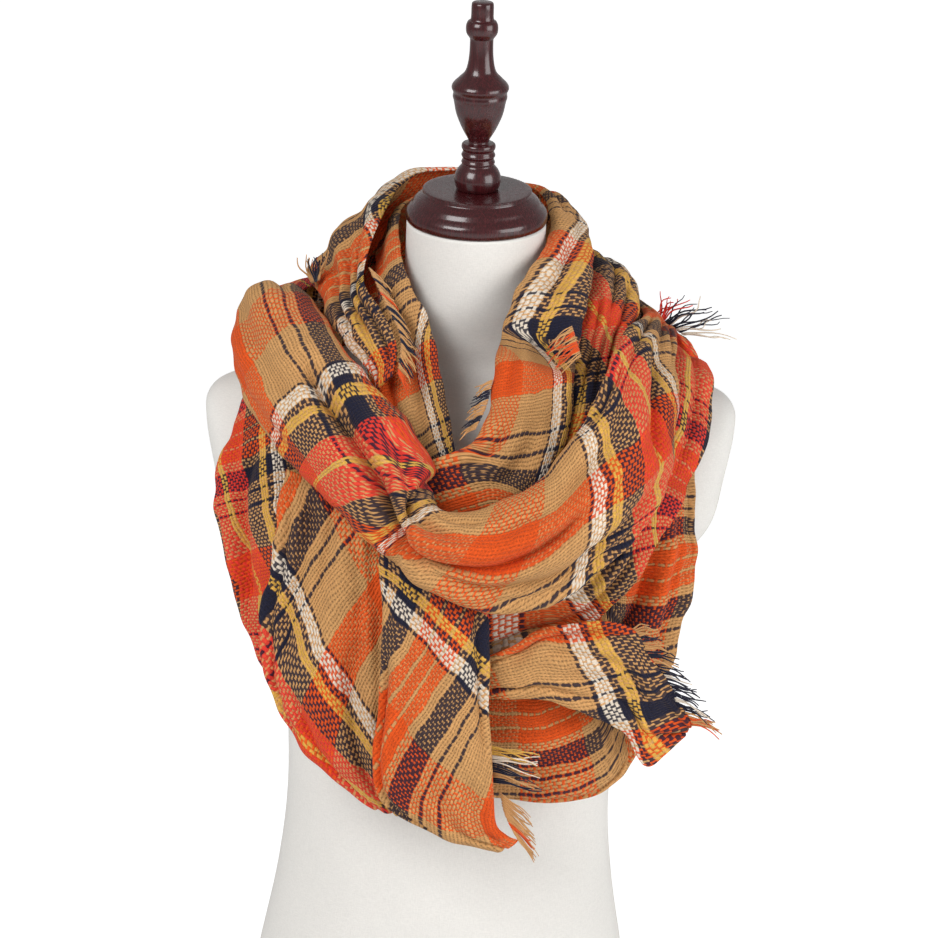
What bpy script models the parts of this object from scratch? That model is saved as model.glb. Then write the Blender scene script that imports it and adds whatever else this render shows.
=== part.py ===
"""A blanket scarf wound twice round a limbless dress form.

Frame: metres, +Z up, the front faces -Y. The origin is on the flat face that the form stands on, below its neck.
Tables are in millimetres, and their columns are named above them.
"""

import math
from collections import namedtuple

import bmesh
import bpy
import numpy as np

MM = 0.001

# Driving sizes, in millimetres
CLOTH_WALL = 2.0
SEAM_GAP = 0.3
STRIP_WIDTH = 3.0
YARN_SWAY = 0.02  # share of a yarn's length that its tip strays to the side
YARN_VARIES = 0.12  # share by which the yarns' lengths vary
FOLD_FADE = 0.25  # share of a fold's length over which it fades at each end
NECK_TILT = 9.0  # degrees that the neck's top leans forward
NECK_TOP = (0.0, -3.0, 688.5)
NECK_RADIUS = 51.0
TORSO_SIDES = 28
TURNED_SIDES = 22

# Grid of each stretch of cloth: points along it and across it
Grid = namedtuple("Grid", "along across")

# One section of a stretch: its two edges, how far its middle stands out from the line between them,
# and how far each edge turns under, in degrees (90 ends at the outline, more curls behind it).
Section = namedtuple("Section", "ax ay az bx by bz crown under_a under_b")

# One fold: the share of the stretch's length where it starts and ends, where it lies across the stretch
# at each end (0 at edge a, 1 at edge b), its half width as a share of the width, and its depth.
Fold = namedtuple("Fold", "start end from_across to_across width depth")

LINEN = (0.80, 0.78, 0.73)
MAHOGANY = (0.13, 0.02, 0.025)
ORANGE = (0.78, 0.20, 0.04)
TAN = (0.62, 0.37, 0.15)
RED = (0.68, 0.06, 0.04)
NAVY = (0.02, 0.025, 0.07)
CLOTH_ROUGHNESS = 0.9
LINEN_ROUGHNESS = 0.8
WOOD_ROUGHNESS = 0.25
SHARP_ANGLE = 50.0  # degrees between faces from which an edge is shaded sharp

# The torso: height, half width, half depth, middle, and squareness of the section
TORSO = [
    # z, half_x, half_y, middle_x, middle_y, power
    (0, 160, 104, -13, 6, 2.3),
    (60, 152, 100, -12, 6, 2.3),
    (120, 141, 93, -11, 5, 2.2),
    (180, 130, 85, -10, 3, 2.2),
    (240, 124, 80, -9, 0, 2.2),
    (300, 126, 84, -7, -1, 2.2),
    (360, 134, 92, -4, -3, 2.3),
    (410, 145, 96, -2, -4, 2.4),
    (440, 160, 94, -1, -2, 2.7),
    (470, 182, 88, 0, 2, 3.2),
    (505, 191, 78, 0, 7, 3.4),
    (535, 197, 66, 0, 11, 3.4),
    (553, 196, 55, 0, 14, 3.0),
    (565, 178, 51, 0, 16, 2.6),
    (576, 132, 50, 0, 17, 2.3),
    (588, 92, 50, 0, 17, 2.1),
    (604, 68, 52, 0, 14, 2.0),
    (628, 57, 53, 0, 7, 2.0),
    (656, 52, 52, 0, 2, 2.0),
]

# The neck's cap and the finial: radius and height above the neck's top, turned round the neck's own line
CAP = [
    # radius, height
    (0, 24), (19, 24), (38, 24), (39.4, 22.8), (39.8, 20.8), (42, 19), (45.2, 16.4), (47.4, 13), (49.4, 11),
    (51.6, 8), (52, 4), (51.2, 1), (50, 0), (0, 0),
]
FINIAL = [
    (0, 161.7), (6.2, 161.7), (7.9, 160), (8.2, 149.8), (10.2, 147.8), (11.5, 144.5), (11.2, 139.5), (9, 136),
    (8.4, 134), (8.8, 122), (10.9, 112), (15.4, 106.8), (19.6, 102.6), (20.7, 99.4), (19.4, 96), (19.7, 93),
    (18.8, 89.5), (16.8, 80), (12.4, 69.5), (7.2, 59.6), (11.6, 58.4), (12.4, 55.5), (11.3, 52.6), (12.4, 49.8),
    (11.3, 47.2), (12.3, 44.6), (11.8, 42.6), (15, 38.6), (17, 33), (16.4, 27.6), (15, 24 + SEAM_GAP),
    (0, 24 + SEAM_GAP),
]

NECK_TURN = [
    # ax, ay, az, bx, by, bz, crown, under_a, under_b: up the right of the neck, round the back, down the left
    Section(-28, -131, 533, -10, -137, 499, 5, 80, 80),
    Section(-6, -129, 545, 26, -138, 508, 7, 85, 80),
    Section(6, -122, 555, 50, -130, 520, 10, 85, 80),
    Section(14, -108, 572, 66, -116, 546, 11, 85, 90),
    Section(17, -94, 594, 72, -100, 576, 12, 85, 95),
    Section(20, -80, 622, 74, -82, 608, 12, 85, 100),
    Section(32, -60, 648, 78, -60, 630, 12, 90, 100),
    Section(47, -34, 669, 84, -33, 648, 11, 95, 100),
    Section(56, 2, 685, 85, 4, 664, 10, 95, 100),
    Section(51, 42, 700, 76, 52, 680, 9, 95, 95),
    Section(34, 60, 706, 46, 72, 684, 8, 90, 80),
    Section(0, 66, 703, 0, 78, 676, 6, 90, 60),
    Section(-34, 60, 698, -46, 70, 664, 6, 90, 60),
    Section(-56, 38, 690, -76, 44, 646, 7, 95, 60),
    Section(-56, -8, 674, -82, 0, 626, 8, 95, 60),
    Section(-47, -44, 648, -79, -44, 608, 8, 90, 60),
    Section(-34, -58, 624, -74, -64, 590, 8, 80, 60),
    Section(-23, -77, 591, -68, -86, 562, 7, 80, 60),
    Section(-14, -99, 554, -58, -106, 530, 6, 70, 60),
    Section(-9, -114, 532, -44, -118, 506, 5, 60, 60),
]
NECK_TURN_FOLDS = [
    # start, end, from_across, to_across, width, depth
    Fold(0.02, 0.34, 0.62, 0.50, 0.11, 6),
    Fold(0.20, 0.52, 0.42, 0.55, 0.10, 4),
    Fold(0.62, 0.95, 0.40, 0.45, 0.10, 4),
]

COLLAR = [
    # ax, ay, az, bx, by, bz, crown, under_a, under_b: from the front of the right, round the back, to the left's end
    Section(66, -118, 542, 84, -110, 534, 4, 60, 60),
    Section(70, -104, 562, 94, -92, 554, 6, 60, 70),
    Section(72, -88, 586, 101, -74, 578, 8, 60, 75),
    Section(76, -66, 610, 108, -54, 602, 11, 60, 80),
    Section(80, -40, 630, 116, -30, 619, 14, 60, 90),
    Section(82, -12, 643, 121, -6, 630, 15, 60, 90),
    Section(84, 26, 652, 118, 30, 638, 14, 65, 90),
    Section(74, 60, 664, 100, 60, 634, 13, 75, 90),
    Section(54, 80, 684, 72, 82, 630, 13, 85, 90),
    Section(30, 88, 702, 40, 92, 628, 14, 90, 90),
    Section(0, 88, 712, 0, 94, 626, 15, 100, 90),
    Section(-40, 74, 714, -70, 84, 628, 15, 100, 90),
    Section(-60, 48, 706, -100, 58, 632, 16, 100, 90),
    Section(-66, 16, 694, -119, 22, 636, 17, 90, 85),
    Section(-76, -14, 672, -110, -14, 631, 13, 70, 70),
    Section(-80, -42, 648, -104, -38, 617, 10, 60, 60),
    Section(-66, -64, 631, -92, -58, 606, 8, 60, 60),
    Section(-54, -84, 610, -74, -76, 592, 6, 60, 60),
    Section(-56, -98, 590, -66, -90, 577, 3, 60, 60),
]
COLLAR_FOLDS = [
    Fold(0.06, 0.36, 0.55, 0.45, 0.10, 4),
    Fold(0.30, 0.62, 0.40, 0.40, 0.09, 5),
    Fold(0.50, 0.88, 0.72, 0.62, 0.09, 5),
    Fold(0.55, 0.92, 0.36, 0.40, 0.09, 5),
]

FRONT_WRAP = [
    # ax, ay, az, bx, by, bz, crown, under_a, under_b: a whole turn, from the back by the left shoulder
    Section(0, 112, 644, 0, 130, 524, 24, 95, 100),
    Section(-82, 99, 642, -104, 118, 536, 24, 95, 100),
    Section(-120, 71, 626, -152, 84, 569, 22, 95, 100),
    Section(-132, 30, 626, -164, 30, 594, 21, 95, 100),
    Section(-118, -20, 630, -171, -24, 590, 30, 95, 105),
    Section(-102, -60, 613, -160, -70, 562, 32, 100, 105),
    Section(-78, -94, 590, -133, -106, 533, 33, 105, 105),
    Section(-48, -122, 566, -98, -134, 507, 33, 105, 105),
    Section(-26, -146, 538, -72, -154, 487, 30, 100, 105),
    Section(-22, -162, 514, -50, -166, 472, 24, 100, 105),
    Section(-6, -170, 510, -26, -172, 456, 22, 100, 105),
    Section(22, -170, 518, 17, -174, 443, 24, 95, 105),
    Section(50, -162, 535, 55, -172, 447, 27, 95, 100),
    Section(72, -148, 560, 90, -160, 466, 28, 95, 100),
    Section(86, -128, 580, 119, -144, 491, 27, 95, 100),
    Section(96, -106, 598, 137, -118, 523, 22, 100, 100),
    Section(104, -82, 614, 144, -90, 558, 15, 100, 100),
    Section(114, -54, 624, 146, -58, 590, 10, 100, 100),
    Section(124, -18, 624, 147, -18, 605, 6, 100, 95),
    Section(127, 28, 620, 147, 28, 604, 6, 95, 95),
    Section(114, 64, 626, 132, 68, 596, 9, 95, 95),
    Section(84, 90, 636, 102, 100, 560, 16, 95, 100),
    Section(48, 107, 643, 62, 124, 530, 21, 95, 100),
]
FRONT_WRAP_FOLDS = [
    Fold(0.22, 0.43, 0.36, 0.60, 0.06, 13),
    Fold(0.30, 0.44, 0.28, 0.36, 0.06, 7),
    Fold(0.40, 0.66, 0.66, 0.72, 0.07, 12),
    Fold(0.46, 0.74, 0.30, 0.22, 0.08, 5),
    Fold(0.60, 0.84, 0.50, 0.55, 0.08, 6),
    Fold(0.86, 1.18, 0.40, 0.42, 0.09, 8),
    Fold(0.92, 1.12, 0.72, 0.70, 0.08, 6),
]

LOWER_TURN = [
    # ax, ay, az, bx, by, bz, crown, under_a, under_b: a whole turn, from the back by the left shoulder
    Section(0, 96, 560, 0, 106, 424, 13, 80, 95),
    Section(-72, 92, 568, -110, 100, 450, 12, 80, 95),
    Section(-96, 66, 592, -154, 69, 551, 6, 80, 95),
    Section(-96, 26, 600, -150, 26, 584, 4, 80, 95),
    Section(-96, -20, 596, -158, -28, 572, 5, 80, 95),
    Section(-92, -62, 572, -175, -58, 532, 9, 80, 100),
    Section(-86, -90, 534, -184, -72, 490, 14, 80, 105),
    Section(-78, -104, 492, -176, -80, 450, 17, 80, 105),
    Section(-68, -110, 446, -160, -88, 400, 17, 80, 105),
    Section(-54, -112, 406, -134, -96, 354, 15, 80, 105),
    Section(-34, -112, 374, -96, -104, 318, 13, 80, 105),
    Section(-6, -111, 378, -46, -109, 296, 11, 80, 105),
    Section(26, -110, 390, 16, -112, 284, 11, 80, 105),
    Section(50, -110, 402, 66, -113, 280, 12, 80, 110),
    Section(66, -110, 420, 110, -110, 291, 14, 80, 110),
    Section(80, -110, 446, 133, -104, 333, 16, 80, 110),
    Section(94, -108, 470, 151, -93, 386, 17, 80, 110),
    Section(98, -100, 516, 165, -77, 444, 17, 80, 105),
    Section(100, -76, 558, 164, -64, 500, 12, 80, 105),
    Section(98, -36, 590, 158, -44, 556, 6, 80, 95),
    Section(96, 14, 598, 150, 14, 582, 3, 80, 95),
    Section(92, 62, 590, 144, 72, 556, 6, 80, 95),
    Section(66, 90, 568, 92, 100, 456, 12, 80, 95),
]
LOWER_TURN_FOLDS = [
    Fold(0.18, 0.46, 0.42, 0.40, 0.08, 9),
    Fold(0.20, 0.44, 0.72, 0.66, 0.07, 6),
    Fold(0.56, 0.84, 0.46, 0.44, 0.08, 8),
    Fold(0.60, 0.82, 0.72, 0.74, 0.07, 6),
    Fold(0.86, 1.16, 0.45, 0.45, 0.09, 8),
]

LEFT_PANEL = [
    # ax, ay, az, bx, by, bz, crown, under_a, under_b: downwards, from under the roll
    Section(-62, -118, 500, -131, -94, 520, 4, 60, 70),
    Section(-52, -128, 480, -133, -108, 500, 8, 60, 90),
    Section(-44, -136, 450, -138, -117, 458, 14, 60, 100),
    Section(-40, -138, 408, -145, -118, 422, 15, 60, 105),
    Section(-38, -138, 366, -143, -119, 378, 15, 60, 105),
    Section(-38, -138, 330, -130, -122, 344, 14, 60, 105),
    Section(-36, -137, 300, -106, -126, 310, 11, 60, 105),
    Section(-34, -135, 274, -62, -132, 279, 6, 60, 100),
]
LEFT_PANEL_FOLDS = [
    Fold(0.05, 0.62, 0.62, 0.72, 0.08, 12),
    Fold(0.15, 0.95, 0.28, 0.40, 0.08, 6),
]

CENTER_PANEL = [
    # ax, ay, az, bx, by, bz, crown, under_a, under_b: downwards, from under the cowl
    Section(-30, -143, 490, -56, -142, 484, 3, 70, 70),
    Section(-12, -148, 466, -60, -147, 468, 6, 90, 80),
    Section(12, -155, 444, -60, -152, 447, 10, 105, 95),
    Section(17, -158, 410, -56, -154, 412, 12, 110, 100),
    Section(19, -158, 370, -58, -154, 374, 12, 110, 105),
    Section(20, -157, 332, -62, -153, 328, 12, 110, 105),
    Section(23, -155, 300, -57, -151, 294, 11, 110, 100),
    Section(27, -152, 277, -28, -150, 272, 9, 105, 95),
    Section(35, -149, 267, 2, -147, 259, 6, 95, 85),
    Section(43, -147, 263, 28, -146, 252, 3, 80, 80),
]
CENTER_PANEL_FOLDS = [
    Fold(0.10, 0.80, 0.70, 0.62, 0.10, 4),
    Fold(0.55, 0.98, 0.30, 0.35, 0.09, 4),
]

UNDER_WRAP = [
    # ax, ay, az, bx, by, bz, crown, under_a, under_b: from the middle up to the right shoulder and behind it
    Section(10, -138, 448, 18, -134, 394, 5, 70, 60),
    Section(34, -138, 454, 52, -134, 408, 6, 80, 60),
    Section(58, -136, 462, 86, -133, 420, 7, 85, 60),
    Section(80, -132, 478, 112, -131, 444, 7, 90, 60),
    Section(94, -124, 502, 132, -126, 476, 8, 90, 60),
    Section(102, -110, 530, 148, -110, 501, 8, 90, 60),
    Section(112, -84, 560, 165, -78, 530, 8, 90, 60),
    Section(120, -54, 588, 175, -50, 552, 6, 90, 60),
    Section(124, -24, 604, 176, -22, 577, 4, 90, 60),
    Section(124, 8, 606, 175, 8, 584, 3, 85, 60),
    Section(124, 44, 604, 172, 44, 580, 3, 80, 60),
]
UNDER_WRAP_FOLDS = [
    Fold(0.10, 0.60, 0.45, 0.50, 0.10, 5),
    Fold(0.45, 0.95, 0.35, 0.45, 0.10, 4),
]

CORNER_FLAP = [
    # ax, ay, az, bx, by, bz, crown, under_a, under_b: from behind the middle panel out to the corner
    Section(14, -144, 398, 14, -142, 368, 4, 80, 60),
    Section(36, -149, 410, 37, -146, 369, 5, 80, 60),
    Section(54, -151, 423, 56, -147, 370, 7, 80, 60),
    Section(75, -151, 428, 75, -146, 364, 8, 70, 60),
    Section(97, -149, 430, 96, -143, 356, 8, 60, 60),
    Section(118, -146, 424, 117, -139, 343, 7, 60, 60),
    Section(133, -141, 400, 132, -134, 319, 6, 60, 60),
    Section(149, -134, 377, 146, -129, 325, 4, 60, 60),
    Section(164, -128, 350, 161, -126, 337, 2, 60, 60),
]
CORNER_FLAP_FOLDS = [
    Fold(0.02, 0.55, 0.35, 0.12, 0.09, 4),
    Fold(0.25, 0.90, 0.62, 0.50, 0.09, 3),
]

RIGHT_TAIL = [
    # ax, ay, az, bx, by, bz, crown, under_a, under_b: upwards, from behind the right shoulder
    Section(148, 90, 570, 174, 88, 566, 3, 60, 60),
    Section(144, 90, 586, 170, 87, 582, 4, 60, 60),
    Section(140, 90, 605, 165, 86, 588, 2, 60, 60),
]
RIGHT_TAIL_FOLDS = [
    Fold(0.0, 1.0, 0.5, 0.5, 0.15, 2),
]

# One place along a frayed edge: where the yarns leave it, the way they point, their length and how far they droop
Fray = namedtuple("Fray", "x y z dx dy dz length droop")

FLAP_FRAY = [
    Fray(121, -147, 425, 0.75, -0.20, 0.45, 12, 2),
    Fray(135, -142, 403, 0.90, -0.15, 0.10, 17, 3),
    Fray(150, -135, 380, 0.95, -0.10, -0.12, 20, 4),
    Fray(163, -129, 357, 0.95, -0.10, -0.22, 20, 4),
]
HEM_FRAY = [
    Fray(20, -147, 334, 1.0, -0.08, 0.00, 32, 3),
    Fray(23, -146, 321, 1.0, -0.08, -0.05, 32, 3),
    Fray(26, -145, 306, 1.0, -0.08, -0.10, 30, 3),
]
TIP_FRAY = [
    Fray(31, -146, 297, 0.82, 0.0, -0.57, 24, 2),
    Fray(34, -146, 283, 0.80, 0.0, -0.60, 24, 2),
    Fray(40, -146, 270, 0.74, 0.0, -0.67, 20, 2),
    Fray(46, -147, 260, 0.66, 0.0, -0.75, 16, 2),
]
COLLAR_FRAY = [
    Fray(-75, -38, 656, 0.75, -0.45, -0.35, 15, 4),
    Fray(-62, -64, 636, 0.75, -0.45, -0.35, 16, 5),
    Fray(-50, -84, 615, 0.65, -0.45, -0.45, 16, 5),
    Fray(-51, -100, 592, 0.50, -0.45, -0.60, 13, 3),
]
SHOULDER_FRAY = [
    Fray(-120, -10, 641, -0.45, -0.10, 0.85, 19, 0),
    Fray(-113, -16, 645, 0.20, -0.10, 0.95, 17, 0),
]
OVERLAY_FRAY = [
    Fray(68, -93, 628, -0.80, -0.40, -0.42, 20, 3),
    Fray(75, -98, 608, -0.80, -0.38, -0.46, 24, 3),
]
NECK_FRAY = [
    Fray(13, -102, 590, -0.80, -0.42, -0.05, 11, 4),
    Fray(9, -111, 573, -0.80, -0.42, -0.05, 12, 4),
    Fray(2, -122, 559, -0.75, -0.45, -0.10, 11, 4),
]
TAIL_FRAY = [
    Fray(142, 89.6, 605.6, 0.40, -0.15, 0.90, 18, 0),
    Fray(153, 87.9, 598.4, 0.75, -0.15, 0.60, 36, 4),
    Fray(164.5, 86, 590.7, 0.92, -0.15, 0.20, 38, 8),
]

FRINGES = [
    # name, places along the edge, yarns, colour
    ("flap_fringe", FLAP_FRAY, 26, TAN),
    ("hem_fringe", HEM_FRAY, 11, ORANGE),
    ("tip_fringe", TIP_FRAY, 8, TAN),
    ("collar_fringe", COLLAR_FRAY, 20, TAN),
    ("shoulder_fringe", SHOULDER_FRAY, 5, NAVY),
    ("overlay_fringe", OVERLAY_FRAY, 7, ORANGE),
    ("neck_fringe", NECK_FRAY, 11, TAN),
    ("tail_fringe", TAIL_FRAY, 7, RED),
]
YARN_RINGS = [
    # share of the yarn's length, share of its root's width
    (0.50, 0.80),
    (1.00, 0.50),
]

STRETCHES = [
    # name, sections, folds, grid, a whole turn, colour
    ("neck_turn", NECK_TURN, NECK_TURN_FOLDS, Grid(40, 9), False, TAN),
    ("collar", COLLAR, COLLAR_FOLDS, Grid(34, 9), False, ORANGE),
    ("front_wrap", FRONT_WRAP, FRONT_WRAP_FOLDS, Grid(50, 14), True, RED),
    ("lower_turn", LOWER_TURN, LOWER_TURN_FOLDS, Grid(44, 11), True, ORANGE),
    ("left_panel", LEFT_PANEL, LEFT_PANEL_FOLDS, Grid(14, 11), False, TAN),
    ("center_panel", CENTER_PANEL, CENTER_PANEL_FOLDS, Grid(18, 9), False, ORANGE),
    ("under_wrap", UNDER_WRAP, UNDER_WRAP_FOLDS, Grid(20, 7), False, TAN),
    ("corner_flap", CORNER_FLAP, CORNER_FLAP_FOLDS, Grid(14, 8), False, ORANGE),
    ("right_tail", RIGHT_TAIL, RIGHT_TAIL_FOLDS, Grid(5, 5), False, RED),
]


def clear_scene():
    for thing in list(bpy.data.objects):
        bpy.data.objects.remove(thing)


def plain_material(name, colour, roughness):
    material = bpy.data.materials.new(name)
    material.use_nodes = True
    shader = material.node_tree.nodes["Principled BSDF"]
    shader.inputs["Base Color"].default_value = (*colour, 1.0)
    shader.inputs["Roughness"].default_value = roughness
    shader.inputs["Metallic"].default_value = 0.0
    return material


def add_object(name, points, faces, colour, roughness):
    """One named object with its own material, shaded smooth."""
    mesh = bpy.data.meshes.new(name)
    mesh.from_pydata([tuple(p) for p in np.asarray(points, float)], [], faces)
    mesh.shade_smooth()
    mesh.set_sharp_from_angle(angle=math.radians(SHARP_ANGLE))
    mesh.materials.append(plain_material(name, colour, roughness))
    made = bpy.data.objects.new(name, mesh)
    bpy.context.scene.collection.objects.link(made)
    return made


def curve_through(rows, places, closed):
    """Catmull-Rom curve through a table's rows, read at places from 0 to 1 along it."""
    rows = np.array(rows, float)
    count = len(rows)
    if closed:
        at = places * count
        first = np.floor(at).astype(int)
        p0, p1, p2, p3 = (rows[(first + step) % count] for step in (-1, 0, 1, 2))
    else:
        ends = np.vstack([2 * rows[0] - rows[1], rows, 2 * rows[-1] - rows[-2]])
        at = places * (count - 1)
        first = np.minimum(np.floor(at).astype(int), count - 2)
        p0, p1, p2, p3 = (ends[first + step] for step in (0, 1, 2, 3))
    s = (at - first)[:, None]
    return 0.5 * (
        2 * p1
        + (p2 - p0) * s
        + (2 * p0 - 5 * p1 + 4 * p2 - p3) * s**2
        + (3 * p1 - p0 - 3 * p2 + p3) * s**3
    )


def unit(vectors):
    return vectors / np.maximum(np.linalg.norm(vectors, axis=-1, keepdims=True), 1e-9)


def slope(points, closed):
    """The direction along the first axis of a line or grid of points."""
    if closed:
        return np.roll(points, -1, 0) - np.roll(points, 1, 0)
    return np.gradient(points, axis=0)


def smooth_step(x):
    x = np.clip(x, 0, 1)
    return x * x * (3 - 2 * x)


def fold_depth(folds, along, across, closed):
    """How far the folds press the cloth in, over the grid: a bell across each fold, fading at its two ends."""
    depth = np.zeros((len(along), len(across)))
    for fold in folds:
        for turn in (0, 1) if closed else (0,):
            place = (along + turn - fold.start) / (fold.end - fold.start)
            fade = smooth_step(place / FOLD_FADE) * smooth_step((1 - place) / FOLD_FADE)
            centre = fold.from_across + (fold.to_across - fold.from_across) * np.clip(place, 0, 1)
            away = (across[None, :] - centre[:, None]) / fold.width
            depth += fold.depth * fade[:, None] * np.exp(-(away**2))
    return depth


def cloth_points(sections, folds, grid, closed):
    """Grid of points on the middle of the cloth.

    Each section is an arc of an ellipse from edge a to edge b, standing out by its crown, and an edge that turns
    under by more than 90 degrees curls behind its own outline. The folds are pressed in along the surface's normals.
    """
    along = np.arange(grid.along) / grid.along if closed else np.linspace(0, 1, grid.along)
    across = np.linspace(0, 1, grid.across)
    table = curve_through(sections, along, closed)
    edge_a, edge_b, crown = table[:, 0:3], table[:, 3:6], table[:, 6]
    middle, half = (edge_a + edge_b) / 2, (edge_b - edge_a) / 2
    outward = unit(np.cross(half, slope(middle, closed)))
    side = 2 * across - 1
    under_a, under_b = np.radians(table[:, 7:8]), np.radians(table[:, 8:9])
    under = np.where(side < 0, under_a, under_b)
    angle = side * under
    reach = np.sin(angle) / np.sin(np.minimum(under, math.pi / 2))
    base = np.maximum(np.cos(under_a), 0) * (1 - across) + np.maximum(np.cos(under_b), 0) * across
    rise = crown[:, None] * (np.cos(angle) - base)
    points = middle[:, None] + half[:, None] * reach[..., None] + outward[:, None] * rise[..., None]
    normals = grid_normals(points, closed)
    return points - normals * fold_depth(folds, along, across, closed)[..., None]


def grid_normals(points, closed):
    """Outward normals of a grid that runs from edge a to edge b across and forwards along."""
    return unit(np.cross(np.gradient(points, axis=1), slope(points, closed)))


def grid_faces(rows, columns, closed):
    """Quads of a grid, facing outwards. A closed grid joins its last row to its first."""
    faces = []
    for i in range(rows if closed else rows - 1):
        after = (i + 1) % rows
        for j in range(columns - 1):
            faces.append((i * columns + j, i * columns + j + 1, after * columns + j + 1, after * columns + j))
    return faces


def make_stretch(name, sections, folds, grid, closed, colour):
    """One stretch of cloth as a wall of even thickness, with its middle on the grid of points."""
    points = cloth_points(sections, folds, grid, closed) * MM
    faces = grid_faces(grid.along, grid.across, closed)
    cloth = add_object(name, points.reshape(-1, 3), faces, colour, CLOTH_ROUGHNESS)
    wall = cloth.modifiers.new("wall", "SOLIDIFY")
    wall.thickness = CLOTH_WALL * MM
    wall.offset = 0.0


def make_fringe(name, places, yarns, colour):
    """Yarns of a frayed edge, with their roots fused into a narrow strip that is parted from the cloth.

    The strip runs along the edge as a bar with four corners. A yarn is the outer face of every second stretch of
    the bar, carried outwards in rings that narrow, droop and sway.
    """
    cuts = 2 * yarns + 2
    table = curve_through(places, np.linspace(0, 1, cuts), False)
    edge = table[:, 0:3]
    out = unit(table[:, 3:6])
    length, droop = table[:, 6], table[:, 7]
    normal = unit(np.cross(out, slope(edge, False)))
    inner, outer = edge, edge + out * STRIP_WIDTH
    half = normal * CLOTH_WALL / 2
    points = list(np.stack([inner - half, outer - half, outer + half, inner + half], 1).reshape(-1, 3))
    faces = [(3, 2, 1, 0), tuple(4 * (cuts - 1) + k for k in range(4))]
    for cut in range(cuts - 1):
        near, far = 4 * cut, 4 * cut + 4
        faces += [(near + k, near + (k + 1) % 4, far + (k + 1) % 4, far + k) for k in (0, 2, 3)]
        ring = [near + 1, near + 2, far + 2, far + 1]
        if cut % 2 == 0:
            faces.append(tuple(ring))
            continue
        root = np.array([points[k] for k in ring])
        centre = root.mean(0)
        reach = length[cut] * (1 - YARN_VARIES + YARN_VARIES * math.sin(2.4 * cut))
        sway = YARN_SWAY * reach * math.sin(1.7 * cut + 0.6) * unit(slope(edge, False)[cut])
        for share, width in YARN_RINGS:
            shift = out[cut] * reach * share + (sway - np.array((0, 0, droop[cut]))) * share**2
            first = len(points)
            points += list(centre + shift + (root - centre) * width)
            after = [first + k for k in range(4)]
            faces += [(ring[k], ring[(k + 1) % 4], after[(k + 1) % 4], after[k]) for k in range(4)]
            ring = after
        faces.append(tuple(ring))
    fringe = add_object(name, np.array(points) * MM, faces, colour, CLOTH_ROUGHNESS)
    shell = bmesh.new()
    shell.from_mesh(fringe.data)
    bmesh.ops.recalc_face_normals(shell, faces=shell.faces)
    shell.to_mesh(fringe.data)
    shell.free()


def ring_faces(rings, sides):
    """Quads between rings of points that go anticlockwise seen from above, and rise."""
    faces = []
    for i in range(rings - 1):
        for j in range(sides):
            k = (j + 1) % sides
            low, high = i * sides, (i + 1) * sides
            faces.append((low + j, low + k, high + k, high + j))
    return faces


def make_torso():
    """The linen-covered torso: rings of a rounded rectangle, with flat armhole ends, up to the leaning neck."""
    angles = 2 * math.pi * np.arange(TORSO_SIDES) / TORSO_SIDES
    cos, sin = np.cos(angles), np.sin(angles)
    rings = []
    for z, half_x, half_y, middle_x, middle_y, power in TORSO:
        x = middle_x + half_x * np.sign(cos) * np.abs(cos) ** (2 / power)
        y = middle_y + half_y * np.sign(sin) * np.abs(sin) ** (2 / power)
        rings.append(np.stack([x, y, np.full(TORSO_SIDES, float(z))], axis=1))
    lean = math.radians(NECK_TILT)
    top = NECK_RADIUS * np.stack([cos, sin * math.cos(lean), sin * math.sin(lean)], axis=1)
    rings.append(top + np.array(NECK_TOP) - (0, 0, SEAM_GAP))
    points = np.concatenate(rings) * MM
    faces = ring_faces(len(rings), TORSO_SIDES)
    last = (len(rings) - 1) * TORSO_SIDES
    faces.append(tuple(reversed(range(TORSO_SIDES))))
    faces.append(tuple(range(last, last + TORSO_SIDES)))
    add_object("form_torso", points, faces, LINEN, LINEN_ROUGHNESS)


def make_turned(name, profile):
    """A piece turned on the neck's line, from its profile of radius and height, leaning with the neck."""
    rows = [row for row in reversed(profile) if row[0] > 0]
    angles = 2 * math.pi * np.arange(TURNED_SIDES) / TURNED_SIDES
    lean = math.radians(NECK_TILT)
    rings = []
    for radius, height in rows:
        x, y = radius * np.cos(angles), radius * np.sin(angles)
        rings.append(
            np.stack([x, y * math.cos(lean) - height * math.sin(lean), y * math.sin(lean) + height * math.cos(lean)], 1)
        )
    points = (np.concatenate(rings) + np.array(NECK_TOP)) * MM
    last = (len(rings) - 1) * TURNED_SIDES
    faces = ring_faces(len(rings), TURNED_SIDES)
    faces.append(tuple(reversed(range(TURNED_SIDES))))
    faces.append(tuple(range(last, last + TURNED_SIDES)))
    add_object(name, points, faces, MAHOGANY, WOOD_ROUGHNESS)


def main():
    clear_scene()
    make_torso()
    make_turned("neck_cap", CAP)
    make_turned("finial", FINIAL)
    for stretch in STRETCHES:
        make_stretch(*stretch)
    for fringe in FRINGES:
        make_fringe(*fringe)


if __name__ == "__main__":
    main()
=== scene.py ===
"""A plaid blanket scarf wound round a limbless dress form.

Runs in Blender 4.5 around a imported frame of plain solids. Each solid of cloth gives way to a finer shell on
the same sections, with more creases and a woven plaid. Each fringe gives way to loose yarns, and the form,
its neck cap and its finial to smooth surfaces. Tables are in millimetres, meshes in metres.
"""

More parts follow.
